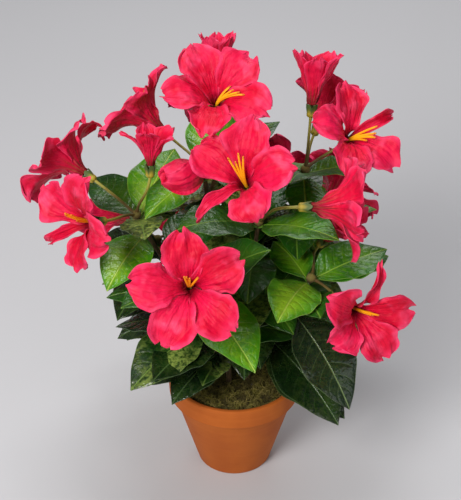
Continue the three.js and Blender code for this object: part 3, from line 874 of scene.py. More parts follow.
# %% Petal shape
PETAL_ROWS, PETAL_COLUMNS = 25, 31
PETAL_SHEET = 0.25
ROOT = {"radius": 2.6, "angle": 15}
EDGE_SHARE = 0.97


def petal_sheet(bloom, petal, roll):
    """A petal's middle surface, its half thicknesses, and where each point lies on it."""
    across = np.sin(np.linspace(-1, 1, PETAL_ROWS) * np.pi / 2 * EDGE_SHARE)[:, None]
    across = across / math.sin(np.pi / 2 * EDGE_SHARE)
    along = np.linspace(0, 1, PETAL_COLUMNS)[None, :] ** 0.85
    phases = [2 * math.pi * roll() for _ in range(4)]
    out = bloom["right"] * math.cos(petal["angle"]) + bloom["up"] * math.sin(petal["angle"])
    side = np.cross(bloom["facing"], out)
    reached = petal_reach(petal, across, along, phases)
    forward, outward, angle = arc(petal["length"], ROOT["angle"], petal["open"], reached)
    radius = outward + ROOT["radius"]
    half = petal_width(bloom, petal, across, along, radius, phases, roll)
    lift = petal_relief(bloom, petal, across, along, half, phases, roll)
    inward = np.sin(angle)[..., None] * bloom["facing"] - np.cos(angle)[..., None] * out
    middle = (
        bloom["mouth"] + forward[..., None] * bloom["facing"] + radius[..., None] * out
        + (across * half)[..., None] * side + lift[..., None] * inward
    )
    return middle, (PETAL_SHEET, PETAL_SHEET), across, along, half


print("points of a petal:", 2 * PETAL_ROWS * PETAL_COLUMNS)

# %% Petals of the left, the right and the back
BACK_BLOOMS = (
    "back_high", "back", "back_left", "back_low", "back_right", "top_bud", "right_back",
)
ruffles = dice(SEEDS["petals"])
petal_sheets = {group: Sheets() for group in ("left", "right", "back")}
petal_blooms = {group: [] for group in petal_sheets}
for bloom in blooms:
    group = "left" if bloom["foot"][0] < 0 else "right"
    group = "back" if bloom["name"] in BACK_BLOOMS else group
    bloom_tone = ruffles()
    if bloom["petals"]:
        petal_blooms[group].append(bloom["name"])
    for petal in bloom["petals"]:
        sheet = petal_sheet(bloom, petal, ruffles)
        petal_sheets[group].add(*sheet, 0.7 * bloom_tone + 0.3 * ruffles())
petal_pieces = {group: sheets.make(f"petals_{group}") for group, sheets in petal_sheets.items()}
for group, piece in petal_pieces.items():
    print("petals,", group, ":", triangles(piece), "triangles")

# %% [markdown]
# ## The finish of the petals
# The cloth is a strong red, dark in the throat, with fine dark rays. It turns pink on the ridges
# of its creases, a painted highlight, and along its edge, partly the cloth's own paler edge and
# partly painted highlight. A photograph of cloth could be laid on it, but the rays have to run
# along every petal. So they are sine waves across the petal that fade on the way out.


# %% Petal finish
def petal_finish(name):
    finish = Finish(name)
    across, along, back = finish.parts("place")
    _, tone, _ = finish.parts("measure")
    edge = across.size()
    threads = finish.noise(140, 3, 0.6)
    soft = finish.noise(34, 3, 0.55)
    crumple = finish.noise(62, 2, 0.55)
    fan = (across * 17 + threads * 7).wave() * 0.5 + 0.5
    rays = (fan ** 5) * along.ramp(0.05, 0.3) * (1 - along.ramp(0.5, 0.95))
    # Paler pink at the sides and the tip: partly the cloth's own paler edge, partly painted
    # highlight.
    pale_edge_and_highlight = edge.ramp(0.7, 1.0) * 0.35 + along.ramp(0.8, 1.0) * 0.3
    colour = finish.mix(soft.ramp(0.3, 0.72) * 0.7, rgb(210, 0, 46), rgb(242, 26, 90))
    colour = finish.mix(tone * 0.35, colour, rgb(196, 0, 38))
    colour = finish.mix(pale_edge_and_highlight, colour, rgb(252, 86, 138))
    # Pink on the ridges of the creases is painted highlight, a painted sheen where the creases
    # would catch the light.
    painted_crease_sheen = crumple.ramp(0.5, 0.72) * along.ramp(0.3, 0.7) * 0.5
    colour = finish.mix(painted_crease_sheen, colour, rgb(252, 84, 128))
    colour = finish.mix(rays * 0.25, colour, rgb(146, 0, 28))
    colour = finish.mix(1 - along.ramp(0.04, 0.32), colour, rgb(124, 0, 22))
    stripes = ((across * 9).wave() * 0.5 + 0.5) ** 2 * (1 - along.ramp(0.1, 0.5))
    outside = finish.mix(stripes * back * 0.6, colour, rgb(112, 84, 36))
    colour = finish.mix(back * 0.2, outside, rgb(214, 14, 66))

    weave = finish.noise(2600, 1, 0.5)
    along_the_petal = finish.node("ShaderNodeCombineXYZ", None, {
        0: across * 3, 1: along * 1.5, 2: tone * 37,
    })
    satin = finish.noise(1.5, 2, 0.45, along_the_petal)
    relief = weave * 0.03 - rays * 0.08 + threads * 0.16 + crumple * 1.5 + satin * 0.7
    return finish.surface(
        Base_Color=colour, Roughness=0.42 + threads * 0.2, Normal=finish.bump(relief, 0.003, 1.0),
        Specular_IOR_Level=0.2, Sheen_Weight=0.03, Sheen_Roughness=0.4,
        Sheen_Tint=(1.0, 0.4, 0.6, 1.0),
    )


petal_material = petal_finish("petal_cloth")
for piece in petal_pieces.values():
    piece.data.materials.append(petal_material)
print("petal finish:", petal_material.name)

# %% [markdown]
# ## Wires, stalks and threads
# A stem is a wire wrapped in brown paper tape, a stalk is a thinner one in a green sleeve, and a
# stamen is a moulded thread. All are tubes along a path. A curve object with a bevel would do for
# one of them. One tree of Geometry Nodes does for all: it turns a line into a curve, sweeps a
# circle along it with the thickness that each point carries, and roughens the surface. The result
# is baked to a plain mesh.


# %% Trees of Geometry Nodes
class Tree(Nodes):
    """A tree with named inputs that turns one geometry into another."""

    def __init__(self, name):
        super().__init__(bpy.data.node_groups.new(name, "GeometryNodeTree"))
        for way in ("INPUT", "OUTPUT"):
            self.tree.interface.new_socket(
                "Geometry", in_out=way, socket_type="NodeSocketGeometry"
            )
        self.given = self.tree.nodes.new("NodeGroupInput")
        self.result = self.tree.nodes.new("NodeGroupOutput")

    def ask(self, name, kind="Float"):
        """A named input of the tree, as a value."""
        self.tree.interface.new_socket(name, in_out="INPUT", socket_type="NodeSocket" + kind)
        return Value(self.given.outputs[name])

    def source(self):
        """The geometry that the tree is given."""
        return Value(self.given.outputs["Geometry"])

    def finish(self, geometry, material):
        """Every tree ends in real geometry with its material set."""
        real = self.node("GeometryNodeRealizeInstances", None, {"Geometry": geometry})
        dressed = {"Geometry": real, "Material": material}
        plug(self.result.inputs[0], self.node("GeometryNodeSetMaterial", None, dressed))

    def bake(self, source, name, **inputs):
        """Run the tree on an object and return the result as a plain mesh object."""
        modifier = source.modifiers.new("grow", "NODES")
        modifier.node_group = self.tree
        for item in self.tree.interface.items_tree:
            if item.item_type == "SOCKET" and item.in_out == "INPUT" and item.name in inputs:
                modifier[item.identifier] = inputs[item.name]
        evaluated = source.evaluated_get(bpy.context.evaluated_depsgraph_get())
        mesh = bpy.data.meshes.new_from_object(evaluated)
        source.modifiers.remove(modifier)
        bpy.data.objects.remove(source)
        mesh.name = name
        return new_object(name, mesh)


# %% A tree that sweeps a tube
tube = Tree("tube_along_a_line")
sides, relief, grain = tube.ask("Sides", "Int"), tube.ask("Relief"), tube.ask("Grain")
tube_material = tube.ask("Finish", "Material")
line = tube.node("GeometryNodeMeshToCurve", None, {"Mesh": tube.source()})
circle = tube.node("GeometryNodeCurvePrimitiveCircle", None, {"Resolution": sides, "Radius": MM})
thick = tube.node("GeometryNodeInputNamedAttribute", {"data_type": "FLOAT"}, {"Name": "thickness"})
swept = tube.node("GeometryNodeCurveToMesh", None, {
    "Curve": line, "Profile Curve": circle, "Scale": thick, "Fill Caps": True,
})
uneven = tube.node("ShaderNodeTexNoise", None, {"Scale": grain, "Detail": 3.0})
offset = tube.node("ShaderNodeVectorMath", {"operation": "SCALE"}, {
    0: tube.node("GeometryNodeInputNormal"), "Scale": (uneven - 0.5) * relief,
})
rough = tube.node("GeometryNodeSetPosition", None, {"Geometry": swept, "Offset": offset})
smooth = tube.node("GeometryNodeSetShadeSmooth", None, {"Geometry": rough, "Shade Smooth": True})
tube.finish(smooth, tube_material)
print("tube tree:", len(tube.tree.nodes), "nodes")


# %% Lines for the tube tree
class Lines:
    """Collects paths with a thickness at each point, as one mesh of edges."""

    def __init__(self):
        self.points, self.thickness, self.shares, self.edges = [], [], [], []

    def add(self, points, thickness):
        start = len(self.points)
        self.points += list(points)
        self.thickness += list(thickness)
        self.shares += list(np.linspace(0, 1, len(points)))
        self.edges += [(start + k, start + k + 1) for k in range(len(points) - 1)]

    def make(self, name):
        mesh = bpy.data.meshes.new(name)
        mesh.from_pydata((np.array(self.points) * MM).tolist(), self.edges, [])
        for attribute, values in (("thickness", self.thickness), ("share", self.shares)):
            mesh.attributes.new(attribute, "FLOAT", "POINT").data.foreach_set("value", values)
        return new_object(name, mesh)


# %% [markdown]
# ## Stems and twigs
# The tape on a stem is brown and fibrous. Where leaves and stalks leave the wire it thickens to a
# knuckle, which could be a ball of its own. Here the tube itself swells there, so the tape has no
# seam. The finish is noise that is squeezed along the stem into fibres, and it turns green near
# the joint of a twig.


# %% Finish of the tape
def tape_finish(name, joint):
    finish = Finish(name)
    share = finish.number("share")
    fibres = finish.noise(1.0, 4, 0.65, finish.own_space((900.0, 900.0, 160.0)))
    patches = finish.noise(90, 3, 0.6)
    colour = finish.mix(fibres.ramp(0.3, 0.7), rgb(58, 44, 26), rgb(112, 88, 54))
    colour = finish.mix(patches.ramp(0.5, 0.75) * 0.5, colour, rgb(84, 92, 46))
    colour = finish.mix(share.ramp(0.8, 0.97) * joint, colour, rgb(126, 116, 50))
    normal = finish.bump(fibres + patches * 0.5, 0.0006, 0.8)
    return finish.surface(Base_Color=colour, Roughness=0.72 + fibres * 0.2, Normal=normal)


# %% Stems below the leaves, and twigs inside them
STEM_STEPS, KNUCKLE_STEPS = 36, 10


def stem_thickness(share):
    return STEM["foot"] + (STEM["tip"] - STEM["foot"]) * share


lower, upper = Lines(), Lines()
for stem in stems:
    path, knuckle = stem["path"], STEM["knuckle"]
    shares = np.linspace(0, stem["leaves_from"], STEM_STEPS)
    lower.add(path.at(shares), stem_thickness(shares))
    shares = np.linspace(stem["leaves_from"], 1, STEM_STEPS)
    shares = shares[shares * path.length < path.length - knuckle]
    ball = np.linspace(-0.9, 1, KNUCKLE_STEPS) * knuckle
    reach = np.maximum(np.sqrt(np.maximum(knuckle**2 - ball**2, 0.04)), 0.2)
    points = np.vstack([path.at(shares), stem["tip"] + ball[:, None] * path.end_direction()])
    upper.add(points, np.concatenate([stem_thickness(shares), reach]))
tape = {"Sides": 14, "Relief": 0.7 * MM, "Grain": 420.0}
stem_piece = tube.bake(
    lower.make("stem_lines"), "stems_wrapped", Finish=tape_finish("stem_bark", 0.0), **tape
)
twig_piece = tube.bake(
    upper.make("twig_lines"), "twigs_wrapped", Finish=tape_finish("twig_bark", 0.75), **tape
)
print("stems:", triangles(stem_piece), "and", triangles(twig_piece), "triangles")

# %% [markdown]
# ## Stalks
# A stalk leaves its stem's knuckle, bows, and meets the collar of its bloom straight on. Its sleeve
# starts olive brown at the joint and turns yellow-green under the bloom. It could be drawn point by
# point, but four control points are enough for such a bow, and two of them follow from the ends.


# %% Stalks of the blooms
STALK = {"radius": 1.2, "follow": 0.2, "bow": 0.4, "sunk": 4, "steps": 30, "in_knuckle": 0.8}
SWELL = {"foot": 0.5, "foot_share": 0.06, "head": 0.9, "head_share": 0.14}


def lay_stalk(bloom):
    """The stalk's curve, from the knuckle of its stem to the inside of its collar."""
    stem = bloom["stem"]
    to_foot = bloom["foot"] - stem["tip"]
    depth = STALK["bow"] * np.linalg.norm(to_foot)
    leave = unit(unit(to_foot) + STALK["follow"] * stem["path"].end_direction())
    start = stem["tip"] + leave * (STEM["knuckle"] - STALK["in_knuckle"])
    return bow([
        start, start + leave * depth, bloom["foot"] - bloom["facing"] * depth,
        bloom["foot"] + bloom["facing"] * STALK["sunk"],
    ], STALK["steps"])


def stalk_finish():
    finish = Finish("stalk_sleeve")
    share = finish.number("share")
    streaks = finish.noise(260, 3, 0.6)
    colour = finish.mix(share.ramp(0.1, 0.9), rgb(96, 84, 36), rgb(158, 156, 62))
    colour = finish.mix(streaks.ramp(0.4, 0.7) * 0.4, colour, rgb(120, 64, 40))
    normal = finish.bump(streaks, 0.0004, 0.5)
    return finish.surface(Base_Color=colour, Roughness=0.45 + streaks * 0.2, Normal=normal)


stalks = Lines()
share = np.linspace(0, 1, STALK["steps"])
near_head = np.clip((share - 1 + SWELL["head_share"]) / SWELL["head_share"], 0, 1)
swell = SWELL["foot"] * np.exp(-((share / SWELL["foot_share"]) ** 2)) + SWELL["head"] * near_head**2
for bloom in blooms:
    stalks.add(lay_stalk(bloom), STALK["radius"] + swell)
stalk_piece = tube.bake(
    stalks.make("stalk_lines"), "stalks_sleeved", Sides=12, Relief=0.25 * MM, Grain=500.0,
    Finish=stalk_finish(),
)
print("stalks:", triangles(stalk_piece), "triangles")

# %% [markdown]
# ## Collars
# Under each bloom sits a moulded green collar whose rim is cut into five lobes. It could be a
# turned cup with notches cut into it. Here it is lofted from rings round the bloom's axis, up the
# outside, over the rim and down the inside, because then the height of a ring can follow the
# lobes, and no cut leaves rough faces behind.


# %% Loft builder
def ring_faces(steps, around, first=0):
    """The quads between closed rings of points, and the numbers of the points in each ring."""
    index = np.arange(steps * around).reshape(steps, around) + first
    following = np.roll(index, -1, axis=1)
    quads = np.stack([index[:-1], following[:-1], following[1:], index[1:]], axis=-1)
    return quads.reshape(-1, 4).tolist(), index


def ring_points(bloom, base, radius, height, angle):
    """Points at a radius and height round a bloom's axis."""
    out = np.cos(angle)[..., None] * bloom["right"] + np.sin(angle)[..., None] * bloom["up"]
    return base + out * radius[..., None] + height[..., None] * bloom["facing"]


class Lofts:
    """Collects closed bodies that are built of rings, and makes one mesh of them."""

    def __init__(self):
        self.points, self.faces, self.place, self.count = [], [], [], 0

    def add(self, rings, place):
        """rings has the shape (rings, points round, 3), from one end cap to the other."""
        steps, around = rings.shape[:2]
        quads, index = ring_faces(steps, around, self.count)
        self.faces += quads + [index[0][::-1].tolist(), index[-1].tolist()]
        self.points.append(rings.reshape(-1, 3))
        self.place.append(place)
        self.count += steps * around

    def make(self, name):
        mesh = new_mesh(name, np.vstack(self.points), self.faces)
        add_attribute(mesh, "place", np.vstack(self.place))
        return new_object(name, mesh)


print("quads between three rings of eight points:", len(ring_faces(3, 8)[0]))

# %% Collars of the blooms
COLLAR = {
    "around": 40, "steps": 9, "body": 0.5, "lobe": 0.34, "wide": 0.8, "wall": 0.7, "floor": 0.8,
    "knob": 0.7, "knob_at": 0.16, "knob_width": 0.13, "flare": 0.05,
}
collars = Lofts()
angle = np.linspace(0, 2 * np.pi, COLLAR["around"], endpoint=False)[None, :]
outside = np.linspace(0, 1, COLLAR["steps"])[:, None]
inside = outside[::-1]
widen = COLLAR["wide"] * CALYX["rim"] - CALYX["foot"]
knob = COLLAR["knob"] * np.exp(-(((outside - COLLAR["knob_at"]) / COLLAR["knob_width"]) ** 2))
hollow = np.maximum(CALYX["foot"] + widen * inside**0.7 - COLLAR["wall"], 0.5)
for bloom in blooms:
    first_petal = bloom["petals"][0]["angle"] if bloom["petals"] else 0
    turned = angle - first_petal + math.radians(180 / PETALS)
    lobe = np.abs(np.cos(PETALS / 2 * turned)) ** 0.7
    top = CALYX["length"] * (COLLAR["body"] + COLLAR["lobe"] * lobe)
    flare = 1 + COLLAR["flare"] * lobe * outside
    bulge = CALYX["foot"] + widen * outside**0.7 * flare + knob
    radius = np.vstack([bulge, hollow + 0 * angle])
    height = np.vstack([outside * top, COLLAR["floor"] + inside * (top - COLLAR["floor"])])
    place = side_by_side(np.vstack([outside, inside]), lobe, 0.0)
    collars.add(ring_points(bloom, bloom["foot"], radius, height, angle), place)
collar_piece = collars.make("collars")
print("collars:", triangles(collar_piece), "triangles")


# %% Collar finish
def collar_finish():
    finish = Finish("collar_green")
    up_share, lobe, _ = finish.parts("place")
    streaks = finish.noise(300, 3, 0.6)
    colour = finish.mix(up_share.ramp(0.2, 0.75), rgb(176, 158, 46), rgb(72, 96, 36))
    colour = finish.mix((1 - lobe) * 0.5, colour, rgb(48, 70, 28))
    normal = finish.bump(streaks, 0.0004, 0.5)
    return finish.surface(Base_Color=colour, Roughness=0.5 + streaks * 0.15, Normal=normal)


collar_piece.data.materials.append(collar_finish())
print("collar finish:", collar_piece.data.materials[0].name)

# %% [markdown]
# ## The closed bud
# The bud's petals are wound round each other, and their tips are tucked in at the top. They could
# be rolled sheets, but only their outer edges show. So the bud is one egg-shaped loft whose radius
# steps a little at three spiral seams, and whose last rings sink into the tip.

# %% Closed bud
BUD = {
    "width": 0.78, "from": 0.07, "to": 0.88, "bias": 0.85, "twist": 0.7, "step": 0.2,
    "tip_step": 0.12, "dimple": 0.1, "lip": 0.03, "sunk": 0.3, "wraps": 3, "length": 0.9,
    "rings": 44, "around": 90,
}


def wind_bud(bloom):
    """The rings of a bud with the place of each point on its cloth."""
    way = np.linspace(0, 1 + BUD["sunk"], BUD["rings"])[:, None]
    share, sunk = np.minimum(way, 1), np.maximum(way - 1, 0) / BUD["sunk"]
    angle = np.linspace(0, 2 * np.pi, BUD["around"], endpoint=False)[None, :]
    phase = BUD["from"] + (BUD["to"] - BUD["from"]) * share ** BUD["bias"]
    swell = bloom["length"] * BUD["width"] / 2 * np.sin(np.pi * phase) ** 0.8
    seam = (angle * BUD["wraps"] / (2 * np.pi) + BUD["twist"] * (share + 2 * sunk)) % 1
    edge = seam**2 - 0.45
    wrap = 1 + BUD["step"] * edge * np.sin(np.pi * np.clip(share * 0.9 + 0.1, 0, 1)) ** 0.5
    wrap = wrap + BUD["tip_step"] * edge * share**4
    creases = 0.2 * np.sin(angle * 11 + 5 * share) + 0.12 * np.sin(angle * 29 + 11 * share)
    radius = (swell * wrap + creases * share) * (1 - 0.95 * sunk)
    lip = np.cos(np.pi / 2 * np.minimum(np.abs(way - 1) / 0.16, 1))
    depth = share - BUD["dimple"] * np.sin(np.pi / 2 * sunk) + BUD["lip"] * lip
    winding = np.sin(2 * np.pi * seam)
    height = BUD["length"] * bloom["length"] * (depth + 0.04 * winding * share)
    rings = ring_points(bloom, bloom["mouth"], np.maximum(radius, 0.4), height, angle)
    return rings, side_by_side(0.28 * winding, np.clip(share - 0.7 * sunk, 0.05, 1), 1.0)


buds = Lofts()
for bloom in blooms:
    if not bloom["petals"]:
        buds.add(*wind_bud(bloom))
bud_piece = buds.make("bud_wrapped")
add_attribute(bud_piece.data, "measure", np.full((len(bud_piece.data.vertices), 3), 0.5))
bud_piece.data.materials.append(petal_material)
print("bud:", triangles(bud_piece), "triangles")

# %% [markdown]
# ## Stamens
# A few moulded yellow threads come out of each throat, bend to one side and end in a small dark
# anther. They could be hairs of a particle system, but so few can be laid one by one: chance sets
# the length and bend of each, and a table the side to which the threads of a bloom lean. They are
# tubes from the same tree as the stalks.

# %% Threads
# The side that the threads of a bloom lean to, and how far they bend.
THREAD_BENDS = {
    "top": (12, 62), "centre": (118, 46), "front": (88, 32), "low_right": (20, 18),
    "left": (80, 24), "right": (-40, 40),
}
THREADS, THREAD_STEPS, THREAD_SPREAD = 5, 14, 12
THREAD = {"root": 0.8, "foot": 1.1, "taper": 0.3, "shortest": 0.4, "longer": 0.26, "bend": 40}
OPEN_ENOUGH = 60
spread = dice(SEEDS["threads"])
threads, thread_ends = Lines(), []
open_blooms = [bloom for bloom in blooms if bloom["open"] >= OPEN_ENOUGH]
steps = np.linspace(0, 1, THREAD_STEPS)
for bloom in open_blooms:
    any_side = (60 + 60 * spread(), THREAD["bend"])
    leaning, bend = THREAD_BENDS.get(bloom["name"], any_side)
    for k in range(THREADS):
        beside = (k - (THREADS - 1) / 2) * THREAD_SPREAD
        lean = math.radians(leaning + beside + THREAD_SPREAD * (2 * spread() - 1))
        away = bloom["right"] * math.cos(lean) + bloom["up"] * math.sin(lean)
        length = bloom["length"] * (THREAD["shortest"] + THREAD["longer"] * spread())
        forward, outward, _ = arc(length, 3 + 5 * spread(), bend * (0.8 + 0.4 * spread()), steps)
        points = bloom["mouth"] + away * THREAD["root"]
        points = points + forward[:, None] * bloom["facing"] + outward[:, None] * away
        threads.add(points, THREAD["foot"] - THREAD["taper"] * steps)
        thread_ends.append((points[-1], unit(points[-1] - points[-2])))


def thread_finish():
    finish = Finish("thread_yellow")
    mottle = finish.noise(500, 2, 0.5)
    colour = finish.mix(finish.number("share"), rgb(250, 190, 24), rgb(252, 170, 16))
    colour = finish.mix(mottle.ramp(0.5, 0.8) * 0.4, colour, rgb(232, 120, 24))
    return finish.surface(Base_Color=colour, Roughness=0.4 + mottle * 0.15)


thread_piece = tube.bake(
    threads.make("thread_lines"), "stamen_threads", Sides=8, Relief=0.1 * MM, Grain=600.0,
    Finish=thread_finish(),
)
print("threads:", triangles(thread_piece), "triangles")

# %% [markdown]
# ## Anthers
# Each thread ends in a small amber bead, longer than it is wide. The bead could be copied by hand
# to every end. A second tree does it: it sets one shape on many points, and turns it along the
# direction that each point carries.

# %% A tree that sets one shape on many points
setter = Tree("shape_on_points")
width, stretch = setter.ask("Width"), setter.ask("Stretch")
setter_material = setter.ask("Finish", "Material")
bead = setter.node("GeometryNodeMeshUVSphere", None, {"Segments": 8, "Rings": 6, "Radius": width})
long = setter.node("ShaderNodeCombineXYZ", None, {0: 1.0, 1: 1.0, 2: stretch})
way = setter.node("GeometryNodeInputNamedAttribute", {"data_type": "FLOAT_VECTOR"}, {
    "Name": "direction",
})
facing = setter.node("FunctionNodeAlignRotationToVector", {"axis": "Z"}, {"Vector": way})
placed = setter.node("GeometryNodeInstanceOnPoints", None, {
    "Points": setter.source(), "Instance": bead, "Rotation": facing, "Scale": long,
})
rounded = setter.node("GeometryNodeSetShadeSmooth", None, {
    "Geometry": placed, "Shade Smooth": True,
})
setter.finish(rounded, setter_material)
print("tree for beads:", len(setter.tree.nodes), "nodes")


# %% Anthers
def anther_finish():
    finish = Finish("anther_amber")
    mottle = finish.noise(900, 2, 0.5)
    colour = finish.mix(mottle.ramp(0.4, 0.7), rgb(232, 140, 20), rgb(170, 80, 16))
    normal = finish.bump(mottle, 0.0003, 0.6)
    return finish.surface(Base_Color=colour, Roughness=0.6 + mottle * 0.2, Normal=normal)


tips = bpy.data.meshes.new("anther_points")
tips.from_pydata([(point * MM).tolist() for point, _ in thread_ends], [], [])
add_attribute(tips, "direction", np.array([direction for _, direction in thread_ends]))
anther_piece = setter.bake(
    new_object("anther_points", tips), "anthers", Width=0.9 * MM, Stretch=1.8,
    Finish=anther_finish(),
)
print("anthers:", len(thread_ends), "with", triangles(anther_piece), "triangles")

# %% [markdown]
# ## The pot
# A thrown clay pot is a body of revolution. Blender's Screw modifier could turn a drawn profile.
# Here the profile comes from the solid's own sizes, and a few lines turn it, so that every corner
# can be rounded as a wet sponge leaves it, and the ends close on the axis.

# %% Round and turn a profile
AROUND = 144


def rounded_profile(corners, steps=5):
    """A profile of (radius, height, rounding): each corner becomes a small arc."""
    points = []
    for k, (radius, height, rounding) in enumerate(corners):
        here = np.array([radius, height], float)
        if rounding == 0:
            points.append(here)
            continue
        before = np.array(corners[k - 1][:2], float)
        after = np.array(corners[(k + 1) % len(corners)][:2], float)
        start = here + unit(before - here) * rounding
        end = here + unit(after - here) * rounding
        for t in np.linspace(0, 1, steps):
            points.append(start * (1 - t) ** 2 + 2 * here * t * (1 - t) + end * t**2)
    return np.array(points)


def turn_profile(name, profile, shape=None):
    """A closed body from a profile that starts and ends on the axis."""
    turn = np.linspace(0, 2 * np.pi, AROUND, endpoint=False)
    radius, height = profile[1:-1, 0][:, None], profile[1:-1, 1][:, None]
    rings = np.stack([radius * np.cos(turn), radius * np.sin(turn), height + 0 * turn], axis=-1)
    rings = shape(rings) if shape else rings
    poles = [[0, 0, profile[0, 1]], [0, 0, rings[-1, :, 2].mean()]]
    quads, index = ring_faces(len(rings), AROUND)
    following = np.roll(index, -1, axis=1)
    first, last = index.size, index.size + 1
    fans = [[first, following[0][k], index[0][k]] for k in range(AROUND)]
    fans += [[last, index[-1][k], following[-1][k]] for k in range(AROUND)]
    points = np.vstack([rings.reshape(-1, 3), poles])
    return new_object(name, new_mesh(name, points, quads + fans))


block = [(10, 0, 1), (20, 0, 1), (20, 10, 1), (10, 10, 1)]
print("points of a square with rounded corners:", len(rounded_profile(block)))

# %% Turn the pot
POT = {
    "height": 96, "band": 20, "rim": 60, "band_foot": 59.3, "shoulder": 55.2, "base": 33.6,
    "mouth": 55.2, "inner_base": 29, "floor": 6,
}


def inner_radius(height):
    share = (height - POT["floor"]) / (POT["height"] - POT["floor"])
    return POT["inner_base"] + (POT["mouth"] - POT["inner_base"]) * share


under_band = POT["height"] - POT["band"]
pot_piece = turn_profile("pot_clay", rounded_profile([
    (0, 0, 0), (POT["base"], 0, 1.4), (POT["shoulder"], under_band, 0.5),
    (POT["band_foot"], under_band, 1.6), (POT["rim"], POT["height"], 2.2),
    (inner_radius(POT["height"]), POT["height"], 2.0), (POT["inner_base"], POT["floor"], 1.5),
    (0, POT["floor"], 0),
]))
print("pot:", triangles(pot_piece), "triangles")

# %% [markdown]
# ## The finish of the clay
# Fired clay is matt, of one warm colour with soft blotches, a fine grain and faint rings from the
# wheel. An image of clay would show a seam somewhere on a round pot. Noise in the object's own
# space has none, and squeezed in height it gives the rings.


# %% Clay finish
def clay_finish():
    finish = Finish("fired_clay")
    rings = finish.noise(1.0, 3, 0.6, finish.own_space((6.0, 6.0, 420.0)))
    blotches = finish.noise(26, 3, 0.55)
    grain = finish.noise(1400, 3, 0.6)
    colour = finish.mix(blotches.ramp(0.3, 0.72), rgb(168, 80, 6), rgb(182, 92, 14))
    colour = finish.mix(rings.ramp(0.45, 0.75) * 0.1, colour, rgb(212, 122, 48))
    colour = finish.mix(grain.ramp(0.62, 0.75) * 0.3, colour, rgb(150, 66, 30))
    normal = finish.bump(grain * 0.4 + rings * 0.25, 0.0004, 0.5)
    return finish.surface(Base_Color=colour, Roughness=0.78 + grain * 0.14, Normal=normal)


pot_piece.data.materials.append(clay_finish())
print("clay finish:", pot_piece.data.materials[0].name)

# %% [markdown]
# ## The moss
# The pot is filled, and the filling is covered with dried moss: a tangle of thin curled fibres,
# olive and straw-coloured. The filling could be sculpted. A turned body with a few smooth waves on
# top is enough, because the fibres hide it.

# %% Filling
BED = {"clear": 0.4, "inside": 0.6, "top_steps": 26, "dome": 0.7, "waves": 1.3}


def make_uneven(rings):
    """Lift and lower the top by a few smooth waves."""
    x, y, z = rings[..., 0], rings[..., 1], rings[..., 2]
    top = np.clip((z - MOSS["edge"] + 0.5) / 2, 0, 1)
    waves = np.sin(x * 0.21 + 1) * np.cos(y * 0.19)
    waves = waves + 0.6 * np.sin(x * 0.4 - y * 0.33) + 0.4 * np.cos(x * 0.13 + y * 0.52)
    rings[..., 2] = z + BED["waves"] * waves * top
    return rings


bottom = POT["floor"] + BED["clear"]
edge_radius = inner_radius(MOSS["edge"]) - MOSS["wall_gap"]
top_radius = np.linspace(edge_radius, BED["inside"], BED["top_steps"])
dome = (1 - (top_radius / edge_radius) ** 2) ** BED["dome"]
top_height = MOSS["edge"] + (MOSS["crown"] - MOSS["edge"]) * dome
moss_piece = turn_profile("moss_bed", np.array([
    (0, bottom), (POT["inner_base"] - BED["inside"], bottom), *zip(top_radius, top_height),
    (0, MOSS["crown"]),
]), make_uneven)
print("filling:", triangles(moss_piece), "triangles")


# %% Moss finish
def moss_finish(name, dark, light):
    finish = Finish(name)
    tufts = finish.noise(180, 4, 0.65)
    patches = finish.noise(75, 2, 0.5)
    colour = finish.mix(tufts.ramp(0.3, 0.7), dark, light)
    colour = finish.mix(patches.ramp(0.5, 0.62) * 0.6, colour, rgb(52, 42, 18))
    normal = finish.bump(tufts, 0.002, 0.8)
    return finish.surface(Base_Color=colour, Roughness=0.85 + tufts * 0.1, Normal=normal)


moss_piece.data.materials.append(moss_finish("moss_bed", rgb(40, 34, 16), rgb(84, 74, 36)))
print("moss finish:", moss_piece.data.materials[0].name)

# %% [markdown]
# ## Fibres
# Moss could be hair, but dried moss curls and lies in every direction. So one small spiral of wire
# is scattered over the top of the filling by the thousand, each turned and sized by chance. A
# fixed seed keeps them in place from one run to the next. A fibre has few faces, because there are
# so many of it.

# %% A tree that scatters a small spiral
SPIRAL = {
    "Resolution": 10, "Rotations": 1.05, "Start Radius": 1.8 * MM, "End Radius": 3.4 * MM,
}
MOST_TURN, LEAST_UPWARD = (1.9, 1.9, 3.14), 0.3
scatter = Tree("fibres_on_moss")
density, seed, reach = scatter.ask("Density"), scatter.ask("Seed", "Int"), scatter.ask("Length")
thickness, scatter_material = scatter.ask("Thickness"), scatter.ask("Finish", "Material")
face_normal = scatter.node("GeometryNodeInputNormal")
upward = scatter.node("ShaderNodeSeparateXYZ", None, {0: face_normal}, output=2)
points = scatter.node("GeometryNodeDistributePointsOnFaces", None, {
    "Mesh": scatter.source(), "Selection": upward.above(LEAST_UPWARD), "Density": density,
    "Seed": seed,
})
spiral = scatter.node("GeometryNodeCurveSpiral", None, {**SPIRAL, "Height": reach})
wire = scatter.node("GeometryNodeCurvePrimitiveCircle", None, {
    "Resolution": 3, "Radius": thickness,
})
fibre = scatter.node("GeometryNodeCurveToMesh", None, {
    "Curve": spiral, "Profile Curve": wire, "Fill Caps": True,
})
any_way = scatter.node("FunctionNodeRandomValue", {"data_type": "FLOAT_VECTOR"}, {
    0: tuple(-turn for turn in MOST_TURN), 1: MOST_TURN, "Seed": seed,
})
any_size = scatter.node("FunctionNodeRandomValue", {"data_type": "FLOAT"}, {
    2: 0.5, 3: 1.25, "Seed": seed,
}, output=1)
laid = scatter.node("GeometryNodeInstanceOnPoints", None, {
    "Points": points, "Instance": fibre, "Rotation": any_way, "Scale": any_size,
})
scatter.finish(laid, scatter_material)
print("tree for fibres:", len(scatter.tree.nodes), "nodes")

